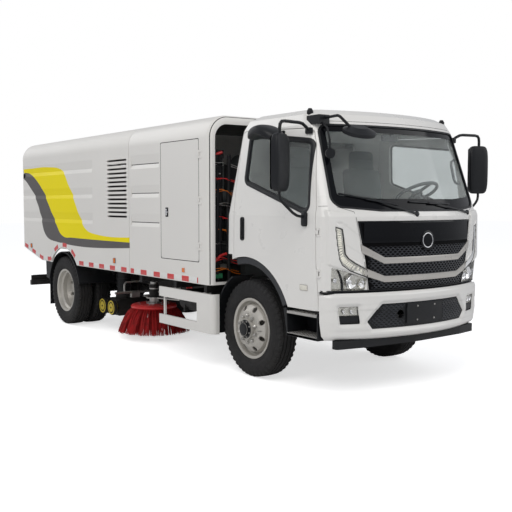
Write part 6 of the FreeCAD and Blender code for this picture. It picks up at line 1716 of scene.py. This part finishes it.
brush = {"x": -0.370, "y": 0.620, "root": 0.405, "tip": 0.064, "bristle": 0.375, "thick": 0.0031, "each": 12,
         "rings": ((0.150, 0.285, 30), (0.195, 0.365, 38), (0.238, 0.435, 46), (0.276, 0.492, 54)),
         "bolts": ((0.075, 0.466), (0.205, 0.4505))}


guide = {"x": {"rear": -1.390, "front": -1.120}, "y": 0.850, "z": 0.330, "half": 0.0265}


def bristle():
    # one bristle along z, bowed outwards along x
    shape = Maker()
    length = brush["bristle"]
    path = [Vector((0.030 * math.sin(math.pi * t ** 0.8), 0, length * t)) for t in (0, 0.25, 0.5, 0.75, 1)]
    shape.tube(path, [brush["thick"]] * 4 + [brush["thick"] * 0.6], 3)
    return shape


for word, side in sides:
    random.seed(7)
    spots = []
    centre = Vector((brush["x"], side * brush["y"], 0))
    for foot, reach, count in brush["rings"]:
        for k in range(count):
            middle = 2 * math.pi * (k + random.uniform(-0.12, 0.12)) / count
            lean = random.uniform(-0.05, 0.05)
            for n in range(brush["each"]):
                a = middle + random.uniform(-0.02, 0.02)
                b = middle + lean + random.uniform(-0.055, 0.055)
                near = foot + random.uniform(-0.006, 0.006)
                far = reach + random.uniform(-0.030, 0.0)
                root = centre + Vector((near * math.cos(a), near * math.sin(a), brush["root"]))
                tip = centre + Vector((far * math.cos(b), far * math.sin(b), brush["tip"]))
                spots.append((root, (tip - root).normalized(), Vector((math.cos(a), math.sin(a), 0))))
    tufts = repeated(f"bristles_{word}", f"{word}_brush", "bristle", bristleMat, spots, bristle(),
                     least=0.93, most=1.0, seed=11, crease=80)
    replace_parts(tufts, f"side_brush_{word}")
    disc = Maker()
    disc.turned([(0.0, 0.446), (0.115, 0.446), (0.122, 0.452), (0.245, 0.450), (0.283, 0.441),
                 (0.301, 0.424), (0.302, 0.408), (0.292, 0.396), (0.262, 0.391), (0.120, 0.391),
                 (0.0, 0.391)], centre, (0, 0, 1), 64)
    disc.mat = 1
    disc.turned([(0.0, 0.466), (0.094, 0.466), (0.101, 0.463), (0.102, 0.446), (0.09, 0.445)],
                centre, (0, 0, 1), 40)
    disc.turned([(0.0, 0.519), (0.046, 0.519), (0.048, 0.516), (0.048, 0.4655)], centre, (0, 0, 1), 32)
    disc.piece(f"brushDisc_{word}", f"{word}_brush", "gear_red", [brushRed, steel], crease=34)
    spots = []
    for k in range(8):
        a = 2 * math.pi * k / 8
        out = Vector((math.cos(a), math.sin(a), 0))
        for ring, z in brush["bolts"]:
            spots.append((centre + out * ring + Vector((0, 0, z)), Vector((0, 0, 1)), out))
    repeated(f"brushBolts_{word}", f"{word}_brush", "steel", steel, spots, turnedPattern(boltShape, 6))

    motor = Maker()
    motor.turned([(0.0, 0.7335), (0.030, 0.7335), (0.034, 0.731), (0.034, 0.706), (0.056, 0.7055),
                  (0.0635, 0.701), (0.0635, 0.655), (0.060, 0.652), (0.060, 0.640), (0.0635, 0.637),
                  (0.0635, 0.541), (0.070, 0.540), (0.070, 0.5345), (0.050, 0.5345)], centre, (0, 0, 1), 40)
    motor.mat = 1
    for turn in (0.6, 2.2):
        at = centre + Vector((0.062 * math.cos(turn), 0.062 * math.sin(turn), 0.600))
        out = Vector((math.cos(turn), math.sin(turn), 0))
        motor.tube([at, at + out * 0.02, at + out * 0.034 + Vector((0, 0, 0.014)),
                    at + out * 0.036 + Vector((0, 0, 0.05))], 0.011, 10)
    motor.piece(f"brushMotor_{word}", f"{word}_brush_arm", "chassis_black", [chassisBlack, steel], crease=34)

    for spot, x in guide["x"].items():
        ring = Maker()
        for way in (1, -1):
            centre = (x, guide["y"] * side + guide["half"] * way, guide["z"])
            for outline in ([(0.013, 0.0), (0.020, 0.003), (0.058, 0.0035), (0.062, 0.0)],
                            [(0.0785, -0.003), (0.080, 0.0012), (0.096, 0.0005), (0.0975, -0.003)]):
                ring.turned(outline, centre, (0, way, 0), 32)
        ring.piece(f"guideRims_{spot}_{word}", f"{word}_{spot}_guide_wheel", "rubber", [yellowMat],
                   crease=30)
print("brushes ready")

print("pieces finished")
